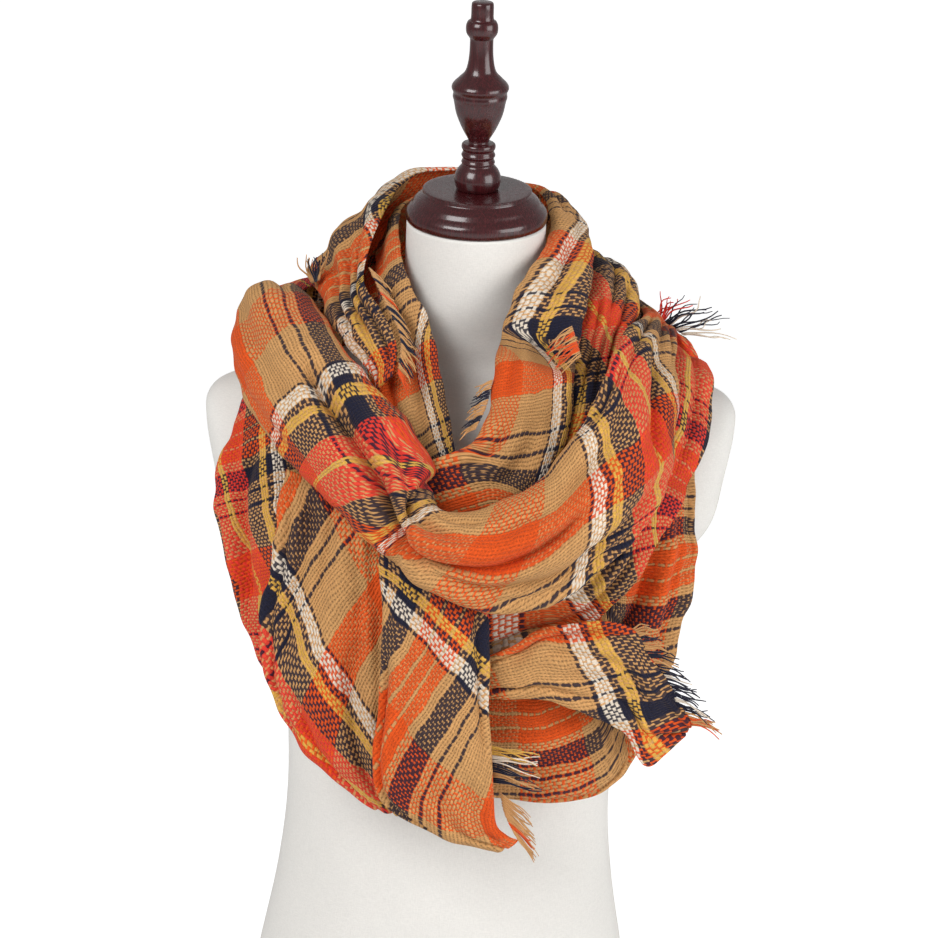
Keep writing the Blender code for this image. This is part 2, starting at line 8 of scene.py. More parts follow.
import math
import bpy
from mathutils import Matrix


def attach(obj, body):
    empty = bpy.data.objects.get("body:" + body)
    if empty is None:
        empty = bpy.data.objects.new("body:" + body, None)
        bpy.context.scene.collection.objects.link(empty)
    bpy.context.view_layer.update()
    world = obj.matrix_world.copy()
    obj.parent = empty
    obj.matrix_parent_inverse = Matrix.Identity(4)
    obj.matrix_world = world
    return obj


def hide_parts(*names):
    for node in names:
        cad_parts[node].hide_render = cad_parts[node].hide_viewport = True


bl_info = {
    "name": "Blanket Scarf on a Dress Form",
    "version": (1, 0, 0),
    "blender": (4, 5, 0),
    "location": "3D View > Sidebar > Scarf",
    "description": "Builds a plaid blanket scarf, the dress form it is wound on and a pale studio stage",
    "category": "Add Mesh",
}

from collections import namedtuple
from functools import partial

import bpy
import numpy as np
from mathutils import Quaternion, Vector

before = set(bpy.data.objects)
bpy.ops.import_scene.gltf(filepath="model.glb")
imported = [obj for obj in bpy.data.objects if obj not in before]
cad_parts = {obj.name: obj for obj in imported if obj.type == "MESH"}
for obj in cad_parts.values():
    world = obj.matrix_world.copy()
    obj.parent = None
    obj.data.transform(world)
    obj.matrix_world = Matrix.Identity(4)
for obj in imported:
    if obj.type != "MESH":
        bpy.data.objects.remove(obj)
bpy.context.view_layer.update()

MM = 0.001
FULL_TURN = 2 * math.pi

NECK_TILT = math.radians(9)  # that the neck's top leans forward by
NECK_TOP = (0, -3, 688.5)
NECK_RADIUS = 51
SEAM_GAP = 0.3  # between two pieces of the form

# The form's rings, then the profiles of the neck cap and the finial, with heights above the neck's top
TORSO = [
    # z, half_x, half_y, middle_x, middle_y, power
    (0, 160, 104, -13, 6, 2.3),
    (60, 152, 100, -12, 6, 2.3),
    (120, 141, 93, -11, 5, 2.2),
    (180, 130, 85, -10, 3, 2.2),
    (240, 124, 80, -9, 0, 2.2),
    (300, 126, 84, -7, -1, 2.2),
    (360, 134, 92, -4, -3, 2.3),
    (410, 145, 96, -2, -4, 2.4),
    (440, 160, 94, -1, -2, 2.7),
    (470, 182, 88, 0, 2, 3.2),
    (505, 191, 78, 0, 7, 3.4),
    (535, 197, 66, 0, 11, 3.4),
    (553, 196, 55, 0, 14, 3),
    (565, 178, 51, 0, 16, 2.6),
    (576, 132, 50, 0, 17, 2.3),
    (588, 92, 50, 0, 17, 2.1),
    (604, 68, 52, 0, 14, 2),
    (628, 57, 53, 0, 7, 2),
    (656, 52, 52, 0, 2, 2),
]

CAP = [
    # radius, height
    (0, 24), (19, 24), (38, 24), (39.4, 22.8), (39.8, 20.8), (42, 19), (45.2, 16.4), (47.4, 13),
    (49.4, 11), (51.6, 8), (52, 4), (51.2, 1), (50, 0), (0, 0),
]

FINIAL = [
    (0, 161.7), (6.2, 161.7), (7.9, 160), (8.2, 149.8), (10.2, 147.8), (11.5, 144.5), (11.2, 139.5),
    (9, 136), (8.4, 134), (8.8, 122), (10.9, 112), (15.4, 106.8), (19.6, 102.6), (20.7, 99.4), (19.4, 96),
    (19.7, 93), (18.8, 89.5), (16.8, 80), (12.4, 69.5), (7.2, 59.6), (11.6, 58.4), (12.4, 55.5),
    (11.3, 52.6), (12.4, 49.8), (11.3, 47.2), (12.3, 44.6), (11.8, 42.6), (15, 38.6), (17, 33),
    (16.4, 27.6), (15, 24 + SEAM_GAP), (0, 24 + SEAM_GAP),
]

# Three tables for each stretch of cloth.
#
# Its sections: edge a (x, y, z), edge b (x, y, z), the crown that the middle stands out by from the line
# between them, and how far each of the two edges turns under, in degrees (90 ends at the outline, more curls
# behind it).
#
# Its folds: the shares of the stretch's length where a crease starts and ends, where it lies across the
# stretch at those two places (0 at edge a, 1 at edge b), its half width as a share of the width, and its
# depth. A ridge has a depth below 0. The plain solid has only the first few of them.
#
# Its lay, which says how the plaid lies on it: a place along the middle line, the warp and weft coordinates
# there, and how much each of the two grows for a millimetre across.

NECK_TURN = [
    # up the right of the neck, round the back, down the left
    (-46, -129, 528, -28, -134, 494, 5, 80, 80),
    (-6, -129, 545, 26, -138, 508, 7, 85, 80),
    (6, -122, 555, 50, -130, 520, 10, 85, 80),
    (14, -108, 572, 66, -116, 546, 11, 85, 90),
    (17, -94, 594, 72, -100, 576, 12, 85, 95),
    (20, -80, 622, 74, -82, 608, 12, 85, 100),
    (32, -60, 648, 78, -60, 630, 12, 90, 100),
    (47, -34, 669, 84, -33, 648, 11, 95, 100),
    (56, 2, 685, 85, 4, 664, 10, 95, 100),
    (51, 42, 700, 76, 52, 680, 9, 95, 95),
    (34, 60, 706, 46, 72, 684, 8, 90, 80),
    (0, 66, 703, 0, 78, 676, 6, 90, 60),
    (-34, 60, 698, -46, 70, 664, 6, 90, 60),
    (-56, 38, 690, -76, 44, 646, 7, 95, 60),
    (-56, -8, 674, -82, 0, 626, 8, 95, 60),
    (-47, -44, 648, -79, -44, 608, 8, 90, 60),
    (-34, -58, 624, -74, -64, 590, 8, 80, 60),
    (-23, -77, 591, -68, -86, 562, 7, 80, 60),
    (-14, -99, 554, -58, -106, 530, 6, 70, 60),
    (-9, -114, 532, -44, -118, 506, 5, 60, 60),
]

NECK_TURN_FOLDS = [
    (0.02, 0.34, 0.62, 0.5, 0.11, 6),
    (0.2, 0.52, 0.42, 0.55, 0.1, 4),
    (0.62, 0.95, 0.4, 0.45, 0.1, 4),
    (0.02, 0.16, 0.3, 0.36, 0.08, 5),
    (0.14, 0.3, 0.72, 0.62, 0.08, 6),
    (0.17, 0.28, 0.24, 0.3, 0.07, 4),
    (0.31, 0.42, 0.45, 0.4, 0.1, 6),
    (0.42, 0.6, 0.3, 0.36, 0.08, 5),
    (0.45, 0.62, 0.7, 0.66, 0.08, 5),
    (0.66, 0.8, 0.64, 0.58, 0.08, 6),
    (0.8, 0.96, 0.33, 0.42, 0.07, 5),
    (0.82, 1, 0.72, 0.68, 0.08, 5),
]

NECK_TURN_LAY = [
    (0, 128, 78, 0, 1),
    (50, 96, 78, -0.2, 0.95),
    (70, 92, 57, -1.2, 0.6),
    (95, 88, 42.5, -1.6, 0.6),
    (125, 86, 13.8, -1.6, 0.6),
    (148, 84, -8, -1.6, 0.5),
    (158, 41, -84, -0.74, -0.42),
    (187, 43, -55, -0.74, -0.42),
    (230, 46.5, -22, -0.8, -0.4),
    (270, 52, 14, -0.9, -0.2),
    (300, 62, 44, -1, 0),
    (500, 132, 265, -0.95, 0),
    (560, 140, 325, -0.95, 0),
    (590, 150, 355, -1, 0),
    (630, 168, 395, -1.8, 0),
    (660, 162, 425, -2.2, 0),
    (716, 160, 481, -2.2, 0),
]

COLLAR = [
    # from the front of the right, round the back, to the left's end
    (66, -118, 542, 84, -110, 534, 4, 60, 60),
    (70, -104, 562, 94, -92, 554, 6, 60, 70),
    (72, -88, 586, 101, -74, 578, 8, 60, 75),
    (76, -66, 610, 108, -54, 602, 11, 60, 80),
    (80, -40, 630, 116, -30, 619, 14, 60, 90),
    (82, -12, 643, 121, -6, 630, 15, 60, 90),
    (84, 26, 652, 118, 30, 638, 14, 65, 90),
    (74, 60, 664, 100, 60, 634, 13, 75, 90),
    (54, 80, 684, 72, 82, 630, 13, 85, 90),
    (30, 88, 702, 40, 92, 628, 14, 90, 90),
    (0, 88, 712, 0, 94, 626, 15, 100, 90),
    (-40, 74, 714, -70, 84, 628, 15, 100, 90),
    (-60, 48, 706, -100, 58, 632, 16, 100, 90),
    (-66, 16, 694, -119, 22, 636, 17, 90, 85),
    (-76, -14, 672, -110, -14, 631, 13, 70, 70),
    (-80, -42, 648, -104, -38, 617, 10, 60, 60),
    (-66, -64, 631, -92, -58, 606, 8, 60, 60),
    (-54, -84, 610, -74, -76, 592, 6, 60, 60),
    (-56, -98, 590, -66, -90, 577, 3, 60, 60),
]

COLLAR_FOLDS = [
    (0.06, 0.36, 0.55, 0.45, 0.1, 4),
    (0.3, 0.62, 0.4, 0.4, 0.09, 5),
    (0.5, 0.88, 0.72, 0.62, 0.09, 5),
    (0.55, 0.92, 0.36, 0.4, 0.09, 5),
    (0.08, 0.26, 0.3, 0.24, 0.07, 5),
    (0.11, 0.32, 0.7, 0.66, 0.07, 7),
    (0.2, 0.36, 0.42, 0.5, 0.06, 4),
    (0.34, 0.52, 0.62, 0.58, 0.08, 6),
    (0.4, 0.6, 0.25, 0.31, 0.08, 5),
    (0.55, 0.7, 0.76, 0.7, 0.07, 5),
    (0.7, 0.84, 0.3, 0.2, 0.06, 6),
    (0.74, 0.93, 0.42, 0.52, 0.06, 7),
    (0.79, 0.98, 0.24, 0.31, 0.06, 6),
    (0.76, 0.9, 0.62, 0.72, 0.06, 6),
    (0.88, 1, 0.82, 0.78, 0.06, 5),
]

COLLAR_LAY = [
    (0, -30, 122, 1, 0.3),
    (62, -34, 60, 0.95, 0.35),
    (80, -22, 42, 0.95, 0.35),
    (98, 0, 24, 0.95, 0.35),
    (140, 25, -18, 0.95, 0.35),
    (175, 38, -53, 0.95, 0.35),
    (260, 84, -105, 0.85, 0.5),
    (340, 108, -160, 0.9, 0.4),
    (440, 97, -227, 0.95, 0.2),
    (500, 80, -266.8, 0.9, 0.3),
    (545, 92, -311.8, 1, 0),
    (580, 43.6, -346.8, 1, 0),
    (650, 40, -416.8, 1, 0),
]

FRONT_WRAP = [
    # a whole turn, from the back by the left shoulder
    (0, 112, 644, 0, 130, 524, 24, 95, 100),
    (-82, 99, 642, -104, 118, 536, 24, 95, 100),
    (-120, 71, 626, -152, 84, 569, 22, 95, 100),
    (-132, 30, 626, -164, 30, 594, 21, 95, 100),
    (-118, -20, 630, -171, -24, 590, 30, 95, 105),
    (-102, -60, 613, -160, -70, 562, 32, 100, 105),
    (-78, -94, 590, -133, -106, 533, 33, 105, 105),
    (-48, -122, 566, -98, -134, 507, 33, 105, 105),
    (-26, -146, 538, -72, -154, 487, 30, 100, 105),
    (-22, -162, 514, -50, -166, 472, 24, 100, 105),
    (-6, -170, 510, -26, -172, 456, 22, 100, 105),
    (22, -170, 518, 17, -174, 443, 24, 95, 105),
    (50, -162, 535, 55, -172, 447, 27, 95, 100),
    (72, -148, 560, 90, -160, 466, 28, 95, 100),
    (86, -128, 580, 119, -144, 491, 27, 95, 100),
    (96, -106, 598, 137, -118, 523, 22, 100, 100),
    (104, -82, 614, 144, -90, 558, 15, 100, 100),
    (114, -54, 624, 146, -58, 590, 10, 100, 100),
    (124, -18, 624, 147, -18, 605, 6, 100, 95),
    (127, 28, 620, 147, 28, 604, 6, 95, 95),
    (114, 64, 626, 132, 68, 596, 9, 95, 95),
    (84, 90, 636, 102, 100, 560, 16, 95, 100),
    (48, 107, 643, 62, 124, 530, 21, 95, 100),
]

FRONT_WRAP_FOLDS = [
    (0.22, 0.43, 0.36, 0.6, 0.06, 13),
    (0.3, 0.44, 0.28, 0.36, 0.06, 7),
    (0.4, 0.66, 0.66, 0.72, 0.07, 12),
    (0.46, 0.74, 0.3, 0.22, 0.08, 5),
    (0.6, 0.84, 0.5, 0.55, 0.08, 6),
    (0.86, 1.18, 0.4, 0.42, 0.09, 8),
    (0.92, 1.12, 0.72, 0.7, 0.08, 6),
    (0.235, 0.345, 0.36, 0.52, 0.05, 9),
    (0.32, 0.39, 0.46, 0.57, 0.05, 9),
    (0.35, 0.405, -0.15, 0.75, 0.16, 8),
    (0.35, 0.57, 0.67, 0.42, 0.045, 14),
    (0.38, 0.55, 0.5, 0.31, 0.07, -5),
    (0.45, 0.64, 0.78, 0.82, 0.05, 7),
    (0.52, 0.63, 0.9, 0.93, 0.035, 4),
    (0.62, 0.74, 0.64, 0.4, 0.05, 6),
    (0.58, 0.69, 0.07, 0.15, 0.05, 6),
    (0.66, 0.8, 0.26, 0.32, 0.05, 5),
    (0.14, 0.27, 0.64, 0.52, 0.06, 5),
    (0.16, 0.26, 0.38, 0.34, 0.05, -4),
    (0.18, 0.3, 0.8, 0.76, 0.05, 4),
    (0.36, 0.44, 0.71, 0.62, 0.035, 6),
    (0.37, 0.45, 0.27, 0.34, 0.04, 4),
    (0.385, 0.46, 0.44, 0.41, 0.03, -4),
    (0.4, 0.47, 0.16, 0.22, 0.035, 3),
    (0.44, 0.6, 0.34, 0.28, 0.05, 4),
    (0.5, 0.66, 0.4, 0.45, 0.04, -3),
    (0.72, 0.9, 0.72, 0.66, 0.05, 6),
    (0.8, 1.02, 0.28, 0.23, 0.06, 7),
    (0.9, 1.1, 0.56, 0.61, 0.05, 6),
    (0.98, 1.2, 0.86, 0.8, 0.05, 5),
    (0.02, 0.2, 0.2, 0.28, 0.06, 6),
]

FRONT_WRAP_LAY = [
    (0, 420, 30, 0, -1),
    (306, 145, 30, 0, -1),
    (330, 124, 30, 0, -1),
    (354, 103.5, 30, 0, -1),
    (405, 55.2, 34, -0.05, -1),
    (440, 29, 44, -0.26, -0.97),
    (465, 3, 50, -0.4, -0.95),
    (491, -9, 47, -0.52, -0.95),
    (509, -25, 37, -0.5, -0.94),
    (523, -37, 22, -0.36, -0.94),
    (532, -63, 6, -0.3, -0.93),
    (560, -86, -5, -0.36, -0.92),
    (600, -124, -8, -0.42, -0.91),
    (640, -158, -11, -0.36, -0.93),
    (683, -193, -15, -0.2, -0.98),
    (702, -206, -10, -0.16, -0.98),
    (737, -228, 0, -0.22, -0.96),
    (770, -248.4, 6, -0.38, -0.92),
    (797, -269, 16, -0.5, -0.88),
    (835, -303, 38, -0.8, -0.75),
    (870, -334, 62, -0.6, -0.8),
    (900, -361, 82, -0.45, -0.85),
    (1100, -534, 208, -0.3, -0.92),
    (1144, -573.6, 232.4, 0, -1),
]

LOWER_TURN = [
    # a whole turn, from the back by the left shoulder
    (0, 96, 560, 0, 106, 424, 13, 80, 95),
    (-72, 92, 568, -110, 100, 450, 12, 80, 95),
    (-96, 66, 592, -154, 69, 551, 6, 80, 95),
    (-96, 26, 600, -150, 26, 584, 4, 80, 95),
    (-96, -20, 596, -158, -28, 572, 5, 80, 95),
    (-92, -62, 572, -175, -58, 532, 9, 80, 100),
    (-86, -90, 534, -184, -72, 490, 14, 80, 105),
    (-78, -104, 492, -176, -80, 450, 17, 80, 105),
    (-68, -110, 446, -160, -88, 400, 17, 80, 105),
    (-54, -112, 406, -134, -96, 354, 15, 80, 105),
    (-34, -112, 374, -96, -104, 318, 13, 80, 105),
    (-6, -111, 378, -46, -109, 296, 11, 80, 105),
    (26, -110, 390, 16, -112, 284, 11, 80, 105),
    (50, -110, 402, 66, -113, 280, 12, 80, 110),
    (66, -110, 420, 110, -110, 291, 14, 80, 110),
    (80, -110, 446, 133, -104, 333, 16, 80, 110),
    (94, -108, 470, 151, -93, 386, 17, 80, 110),
    (98, -100, 516, 165, -77, 444, 17, 80, 105),
    (100, -76, 558, 164, -64, 500, 12, 80, 105),
    (98, -36, 590, 158, -44, 556, 6, 80, 95),
    (96, 14, 598, 150, 14, 582, 3, 80, 95),
    (92, 62, 590, 144, 72, 556, 6, 80, 95),
    (66, 90, 568, 92, 100, 456, 12, 80, 95),
]

LOWER_TURN_FOLDS = [
    (0.18, 0.46, 0.42, 0.4, 0.08, 9),
    (0.2, 0.44, 0.72, 0.66, 0.07, 6),
    (0.56, 0.84, 0.46, 0.44, 0.08, 8),
    (0.6, 0.82, 0.72, 0.74, 0.07, 6),
    (0.86, 1.16, 0.45, 0.45, 0.09, 8),
    (0.22, 0.36, 0.58, 0.8, 0.045, 9),
    (0.24, 0.4, 0.87, 0.91, 0.04, 5),
    (0.22, 0.34, 0.28, 0.44, 0.05, 7),
    (0.27, 0.41, 0.5, 0.6, 0.035, -4),
    (0.34, 0.46, 0.68, 0.76, 0.04, 5),
    (0.49, 0.62, 0.66, 0.6, 0.05, 6),
    (0.53, 0.66, 0.87, 0.83, 0.04, 5),
    (0.62, 0.74, 0.38, 0.53, 0.05, 8),
    (0.66, 0.78, 0.69, 0.62, 0.045, 6),
    (0.7, 0.82, 0.28, 0.34, 0.05, 6),
    (0.72, 0.86, 0.84, 0.8, 0.04, 5),
    (0.8, 1, 0.61, 0.66, 0.05, 7),
    (0.84, 0.98, 0.16, 0.21, 0.05, 5),
    (0.92, 1.14, 0.31, 0.26, 0.05, 6),
    (1, 1.2, 0.71, 0.75, 0.05, 6),
]

LOWER_TURN_LAY = [
    (0, -90, -202.4, 0.7, 0.7),
    (200, -50, -40, 0.95, 0.2),
    (340, -58, 100, 1.2, 0),
    (390, -50, 150, 1.25, 0),
    (420, -48, 180, 1.25, 0),
    (450, -35, 206, 1.25, 0),
    (510, -33, 260, 0.9, 0.3),
    (600, -45, 300, 0.5, 0.8),
    (650, -75, 312.4, 0, 1),
    (740, -160, 312.4, 0, 1),
    (790, -140, 355, 0.7, 0.6),
    (812, -128, 334.65, 0.65, 0.8),
    (875, -124.2, 272.55, 0.65, 0.8),
    (940, -124.2, 207, 0.8, 0.5),
    (1000, -150, 165, 0.8, 0.5),
    (1270, -338.4, 0, 0.7, 0.7),
]

LEFT_PANEL = [
    # downwards, from under the roll
    (-62, -118, 500, -131, -94, 520, 4, 60, 70),
    (-52, -128, 480, -133, -108, 500, 8, 60, 90),
    (-44, -136, 450, -138, -117, 458, 14, 60, 100),
    (-40, -138, 408, -145, -118, 422, 15, 60, 105),
    (-38, -138, 366, -143, -119, 378, 15, 60, 105),
    (-38, -138, 330, -130, -122, 344, 14, 60, 105),
    (-36, -137, 300, -106, -126, 310, 11, 60, 105),
    (-34, -135, 274, -62, -132, 279, 6, 60, 100),
]

LEFT_PANEL_FOLDS = [
    (0.05, 0.62, 0.62, 0.72, 0.08, 12),
    (0.15, 0.95, 0.28, 0.4, 0.08, 6),
    (-0.1, 0.5, 0.48, 0.58, 0.05, 8),
    (0.08, 0.82, 0.78, 0.84, 0.045, 7),
    (0.42, 1.1, 0.4, 0.47, 0.05, 6),
    (0.28, 0.92, 0.2, 0.25, 0.05, 5),
    (0.55, 1.1, 0.67, 0.7, 0.045, 6),
    (0.05, 0.55, 0.32, 0.28, 0.04, -3),
]

LEFT_PANEL_LAY = [
    (0, 118, 134, -0.6, -0.8),
    (75, 82, 168, -0.75, -0.88),
    (115, 62, 186, -0.78, -0.88),
    (140, 51, 197, -0.75, -0.9),
    (180, 33, 215, -0.72, -0.9),
    (258, -5, 250, -0.7, -0.9),
]

CENTER_PANEL = [
    # downwards, from under the cowl
    (-30, -143, 490, -56, -142, 484, 3, 70, 70),
    (-12, -148, 466, -60, -147, 468, 6, 90, 80),
    (12, -155, 444, -60, -152, 447, 10, 105, 95),
    (17, -158, 410, -56, -154, 412, 12, 110, 100),
    (19, -158, 370, -58, -154, 374, 12, 110, 105),
    (20, -157, 332, -62, -153, 328, 12, 110, 105),
    (23, -155, 300, -57, -151, 294, 11, 110, 100),
    (27, -152, 277, -28, -150, 272, 9, 105, 95),
    (35, -149, 267, 2, -147, 259, 6, 95, 85),
    (43, -147, 263, 28, -146, 252, 3, 80, 80),
]

CENTER_PANEL_FOLDS = [
    (0.1, 0.8, 0.7, 0.62, 0.1, 4),
    (0.55, 0.98, 0.3, 0.35, 0.09, 4),
    (-0.1, 0.52, 0.6, 0.5, 0.06, 6),
    (0.08, 0.62, 0.3, 0.17, 0.06, 6),
    (0.28, 0.92, 0.84, 0.8, 0.05, 5),
    (0.55, 1.1, 0.46, 0.57, 0.05, 4),
    (0.2, 0.55, 0.72, 0.74, 0.04, -3),
]

CENTER_PANEL_LAY = [
    (0, 8.8, 62, 0.6, -0.876),
    (80, 55.2, 100, 0.6, -0.876),
    (147, 94, 132.25, 0.6, -0.876),
    (272, 166.6, 192, 0.6, -0.876),
]

UNDER_WRAP = [
    # from the middle up to the right shoulder and behind it
    (10, -138, 448, 18, -134, 394, 5, 70, 60),
    (34, -138, 454, 52, -134, 408, 6, 80, 60),
    (58, -136, 462, 86, -133, 420, 7, 85, 60),
    (80, -132, 478, 112, -131, 444, 7, 90, 60),
    (94, -124, 502, 132, -126, 476, 8, 90, 60),
    (102, -110, 530, 148, -110, 501, 8, 90, 60),
    (112, -84, 560, 165, -78, 530, 8, 90, 60),
    (120, -54, 588, 175, -50, 552, 6, 90, 60),
    (124, -24, 604, 176, -22, 577, 4, 90, 60),
    (124, 8, 606, 175, 8, 584, 3, 85, 60),
    (124, 44, 604, 172, 44, 580, 3, 80, 60),
]

UNDER_WRAP_FOLDS = [
    (0.1, 0.6, 0.45, 0.5, 0.1, 5),
    (0.45, 0.95, 0.35, 0.45, 0.1, 4),
    (-0.1, 0.42, 0.82, 0.68, 0.06, 5),
    (0.28, 0.8, 0.26, 0.31, 0.06, 5),
    (0.5, 1.1, 0.7, 0.76, 0.06, 4),
    (0.1, 0.38, 0.44, 0.4, 0.05, -3),
]

UNDER_WRAP_LAY = [
    (0, 48, 0, 0, -1),
    (22, 58, 0, 0, -1),
    (46, 72, 4, 0, -1),
    (58, 64, 10, 0, -1),
    (70, 55, 22, 0, -1),
    (86, 42, 34, -0.2, -0.95),
    (116, 28, 50, -0.6, -0.8),
    (150, 8, 68, -0.9, -0.4),
    (200, 8, 110, -0.95, 0.1),
    (250, 8, 150, -0.95, 0.1),
    (350, 8, 240, -0.95, 0.1),
]

CORNER_FLAP = [
    # from behind the middle panel out to the corner
    (14, -144, 398, 14, -142, 368, 4, 80, 60),
    (36, -149, 410, 37, -146, 369, 5, 80, 60),
    (54, -151, 423, 56, -147, 370, 7, 80, 60),
    (75, -151, 428, 75, -146, 364, 8, 70, 60),
    (97, -149, 430, 96, -143, 356, 8, 60, 60),
    (118, -146, 424, 117, -139, 343, 7, 60, 60),
    (133, -141, 400, 132, -134, 319, 6, 60, 60),
    (149, -134, 377, 146, -129, 325, 4, 60, 60),
    (164, -128, 350, 161, -126, 337, 2, 60, 60),
]

CORNER_FLAP_FOLDS = [
    (0.02, 0.55, 0.35, 0.12, 0.09, 4),
    (0.25, 0.9, 0.62, 0.5, 0.09, 3),
    (-0.1, 0.7, 0.23, 0.15, 0.05, 5),
    (0.18, 0.82, 0.35, 0.44, 0.05, 4),
    (0.45, 1.1, 0.71, 0.66, 0.05, 5),
    (-0.1, 0.52, 0.74, 0.81, 0.05, 4),
    (0.6, 1.1, 0.3, 0.24, 0.05, -3),
]

CORNER_FLAP_LAY = [
    (0, 112, 30, 0.35, 0.95),
    (62, 68, 30, 0.35, 0.95),
    (80, 55.2, 32, 0.37, 0.95),
    (105, 42.6, 46, 0.38, 0.95),
    (145, 35, 75, 0.36, 0.95),
    (175, 31, 98, 0.3, 0.95),
]

RIGHT_TAIL = [
    # from between the turns, out and up behind the right shoulder
    (106, 70, 578, 120, 74, 552, 2, 60, 60),
    (128, 82, 568, 148, 84, 548, 3, 60, 60),
    (148, 90, 570, 174, 88, 566, 3, 60, 60),
    (144, 90, 586, 170, 87, 582, 4, 60, 60),
    (140, 90, 605, 165, 86, 588, 2, 60, 60),
]

RIGHT_TAIL_FOLDS = [
    (0, 1, 0.5, 0.5, 0.15, 2),
    (-0.2, 1.2, 0.24, 0.3, 0.12, 2),
    (-0.2, 1.2, 0.76, 0.7, 0.1, -1.5),
]

RIGHT_TAIL_LAY = [
    (0, 0, -45, 0.3, 1),
    (51, 4, 0, 0.3, 1),
    (81, 20, 10, 0.3, 1),
]

# One stretch of cloth: its tables, its points along and across, whether it is a whole turn, the lengths that
# it was cut to, in metres, what it lies on and the frayed edges that belong to it
Stretch = namedtuple("Stretch", "name sections folds lay grid closed flat rests_on fringes")

STRETCHES = (
    Stretch(
        "neck_turn", NECK_TURN, NECK_TURN_FOLDS, NECK_TURN_LAY, (260, 60), False,
        (0.056, 0.72), "form_torso", ("neck_fringe",),
    ),
    Stretch(
        "collar", COLLAR, COLLAR_FOLDS, COLLAR_LAY, (260, 60), False,
        (0.064, 0.65), "cloth_neck_turn", ("collar_fringe", "overlay_fringe"),
    ),
    Stretch(
        "lower_turn", LOWER_TURN, LOWER_TURN_FOLDS, LOWER_TURN_LAY, (460, 100), True,
        (0.11, 1.27), "form_torso", (),
    ),
    Stretch(
        "front_wrap", FRONT_WRAP, FRONT_WRAP_FOLDS, FRONT_WRAP_LAY, (480, 120), True,
        (0.11, 1.14), "cloth_lower_turn", ("shoulder_fringe",),
    ),
    Stretch(
        "left_panel", LEFT_PANEL, LEFT_PANEL_FOLDS, LEFT_PANEL_LAY, (150, 110), False,
        (0.10, 0.26), "cloth_lower_turn", (),
    ),
    Stretch(
        "center_panel", CENTER_PANEL, CENTER_PANEL_FOLDS, CENTER_PANEL_LAY, (150, 70), False,
        (0.075, 0.28), "cloth_left_panel", ("hem_fringe", "tip_fringe"),
    ),
    Stretch(
        "under_wrap", UNDER_WRAP, UNDER_WRAP_FOLDS, UNDER_WRAP_LAY, (160, 56), False,
        (0.058, 0.35), "cloth_lower_turn", (),
    ),
    Stretch(
        "corner_flap", CORNER_FLAP, CORNER_FLAP_FOLDS, CORNER_FLAP_LAY, (120, 70), False,
        (0.065, 0.175), "cloth_lower_turn", ("flap_fringe",),
    ),
    Stretch(
        "right_tail", RIGHT_TAIL, RIGHT_TAIL_FOLDS, RIGHT_TAIL_LAY, (90, 30), False,
        (0.028, 0.081), "cloth_lower_turn", ("tail_fringe",),
    ),
)

# Places along a frayed edge: where the yarns leave it (x, y, z), the way they point (x, y, z), their length
# and how far they droop
FLAP_FRAY = [
    (120, -147, 425, 0.75, -0.2, 0.45, 13, 2),
    (132.5, -142, 403, 0.9, -0.15, 0.1, 19, 3),
    (146.5, -135, 380, 0.95, -0.1, -0.12, 23, 4),
    (159, -129, 357, 0.95, -0.1, -0.14, 23, 4),
    (164, -127, 347, 0.98, -0.08, 0.08, 20, 3),
]

HEM_FRAY = [
    (20, -147, 334, 1, -0.08, 0, 32, 3),
    (23, -146, 321, 1, -0.08, -0.05, 32, 3),
    (26, -145, 306, 1, -0.08, -0.1, 30, 3),
]

TIP_FRAY = [
    (31, -146, 297, 0.82, 0, -0.57, 24, 2),
    (34, -146, 283, 0.8, 0, -0.6, 24, 2),
    (40, -146, 270, 0.74, 0, -0.67, 20, 2),
    (46, -147, 260, 0.66, 0, -0.75, 16, 2),
]

COLLAR_FRAY = [
    (-75, -38, 656, 0.75, -0.45, -0.35, 15, 4),
    (-62, -64, 636, 0.75, -0.45, -0.35, 16, 5),
    (-50, -84, 615, 0.65, -0.45, -0.45, 16, 5),
    (-51, -100, 592, 0.5, -0.45, -0.6, 13, 3),
]

SHOULDER_FRAY = [
    (-120, -10, 641, -0.45, -0.1, 0.85, 19, 0),
    (-113, -16, 645, 0.2, -0.1, 0.95, 17, 0),
]

OVERLAY_FRAY = [
    (68, -93, 628, -0.8, -0.4, -0.42, 20, 3),
    (75, -98, 608, -0.8, -0.38, -0.46, 24, 3),
]

NECK_FRAY = [
    (13, -102, 590, -0.8, -0.42, -0.05, 11, 4),
    (9, -111, 573, -0.8, -0.42, -0.05, 12, 4),
    (2, -122, 559, -0.75, -0.45, -0.1, 11, 4),
]

TAIL_FRAY = [
    (142, 89.6, 605.6, 0.4, -0.15, 0.9, 18, 0),
    (153, 87.9, 598.4, 0.75, -0.15, 0.6, 36, 4),
    (164.5, 86, 590.7, 0.92, -0.15, 0.2, 38, 8),
]

# One frayed edge: its places, how many yarns, a yarn's radius, how far yarns wander, and the yarns' colours
# in order
Fringe = namedtuple("Fringe", "name places yarns radius wander colours")

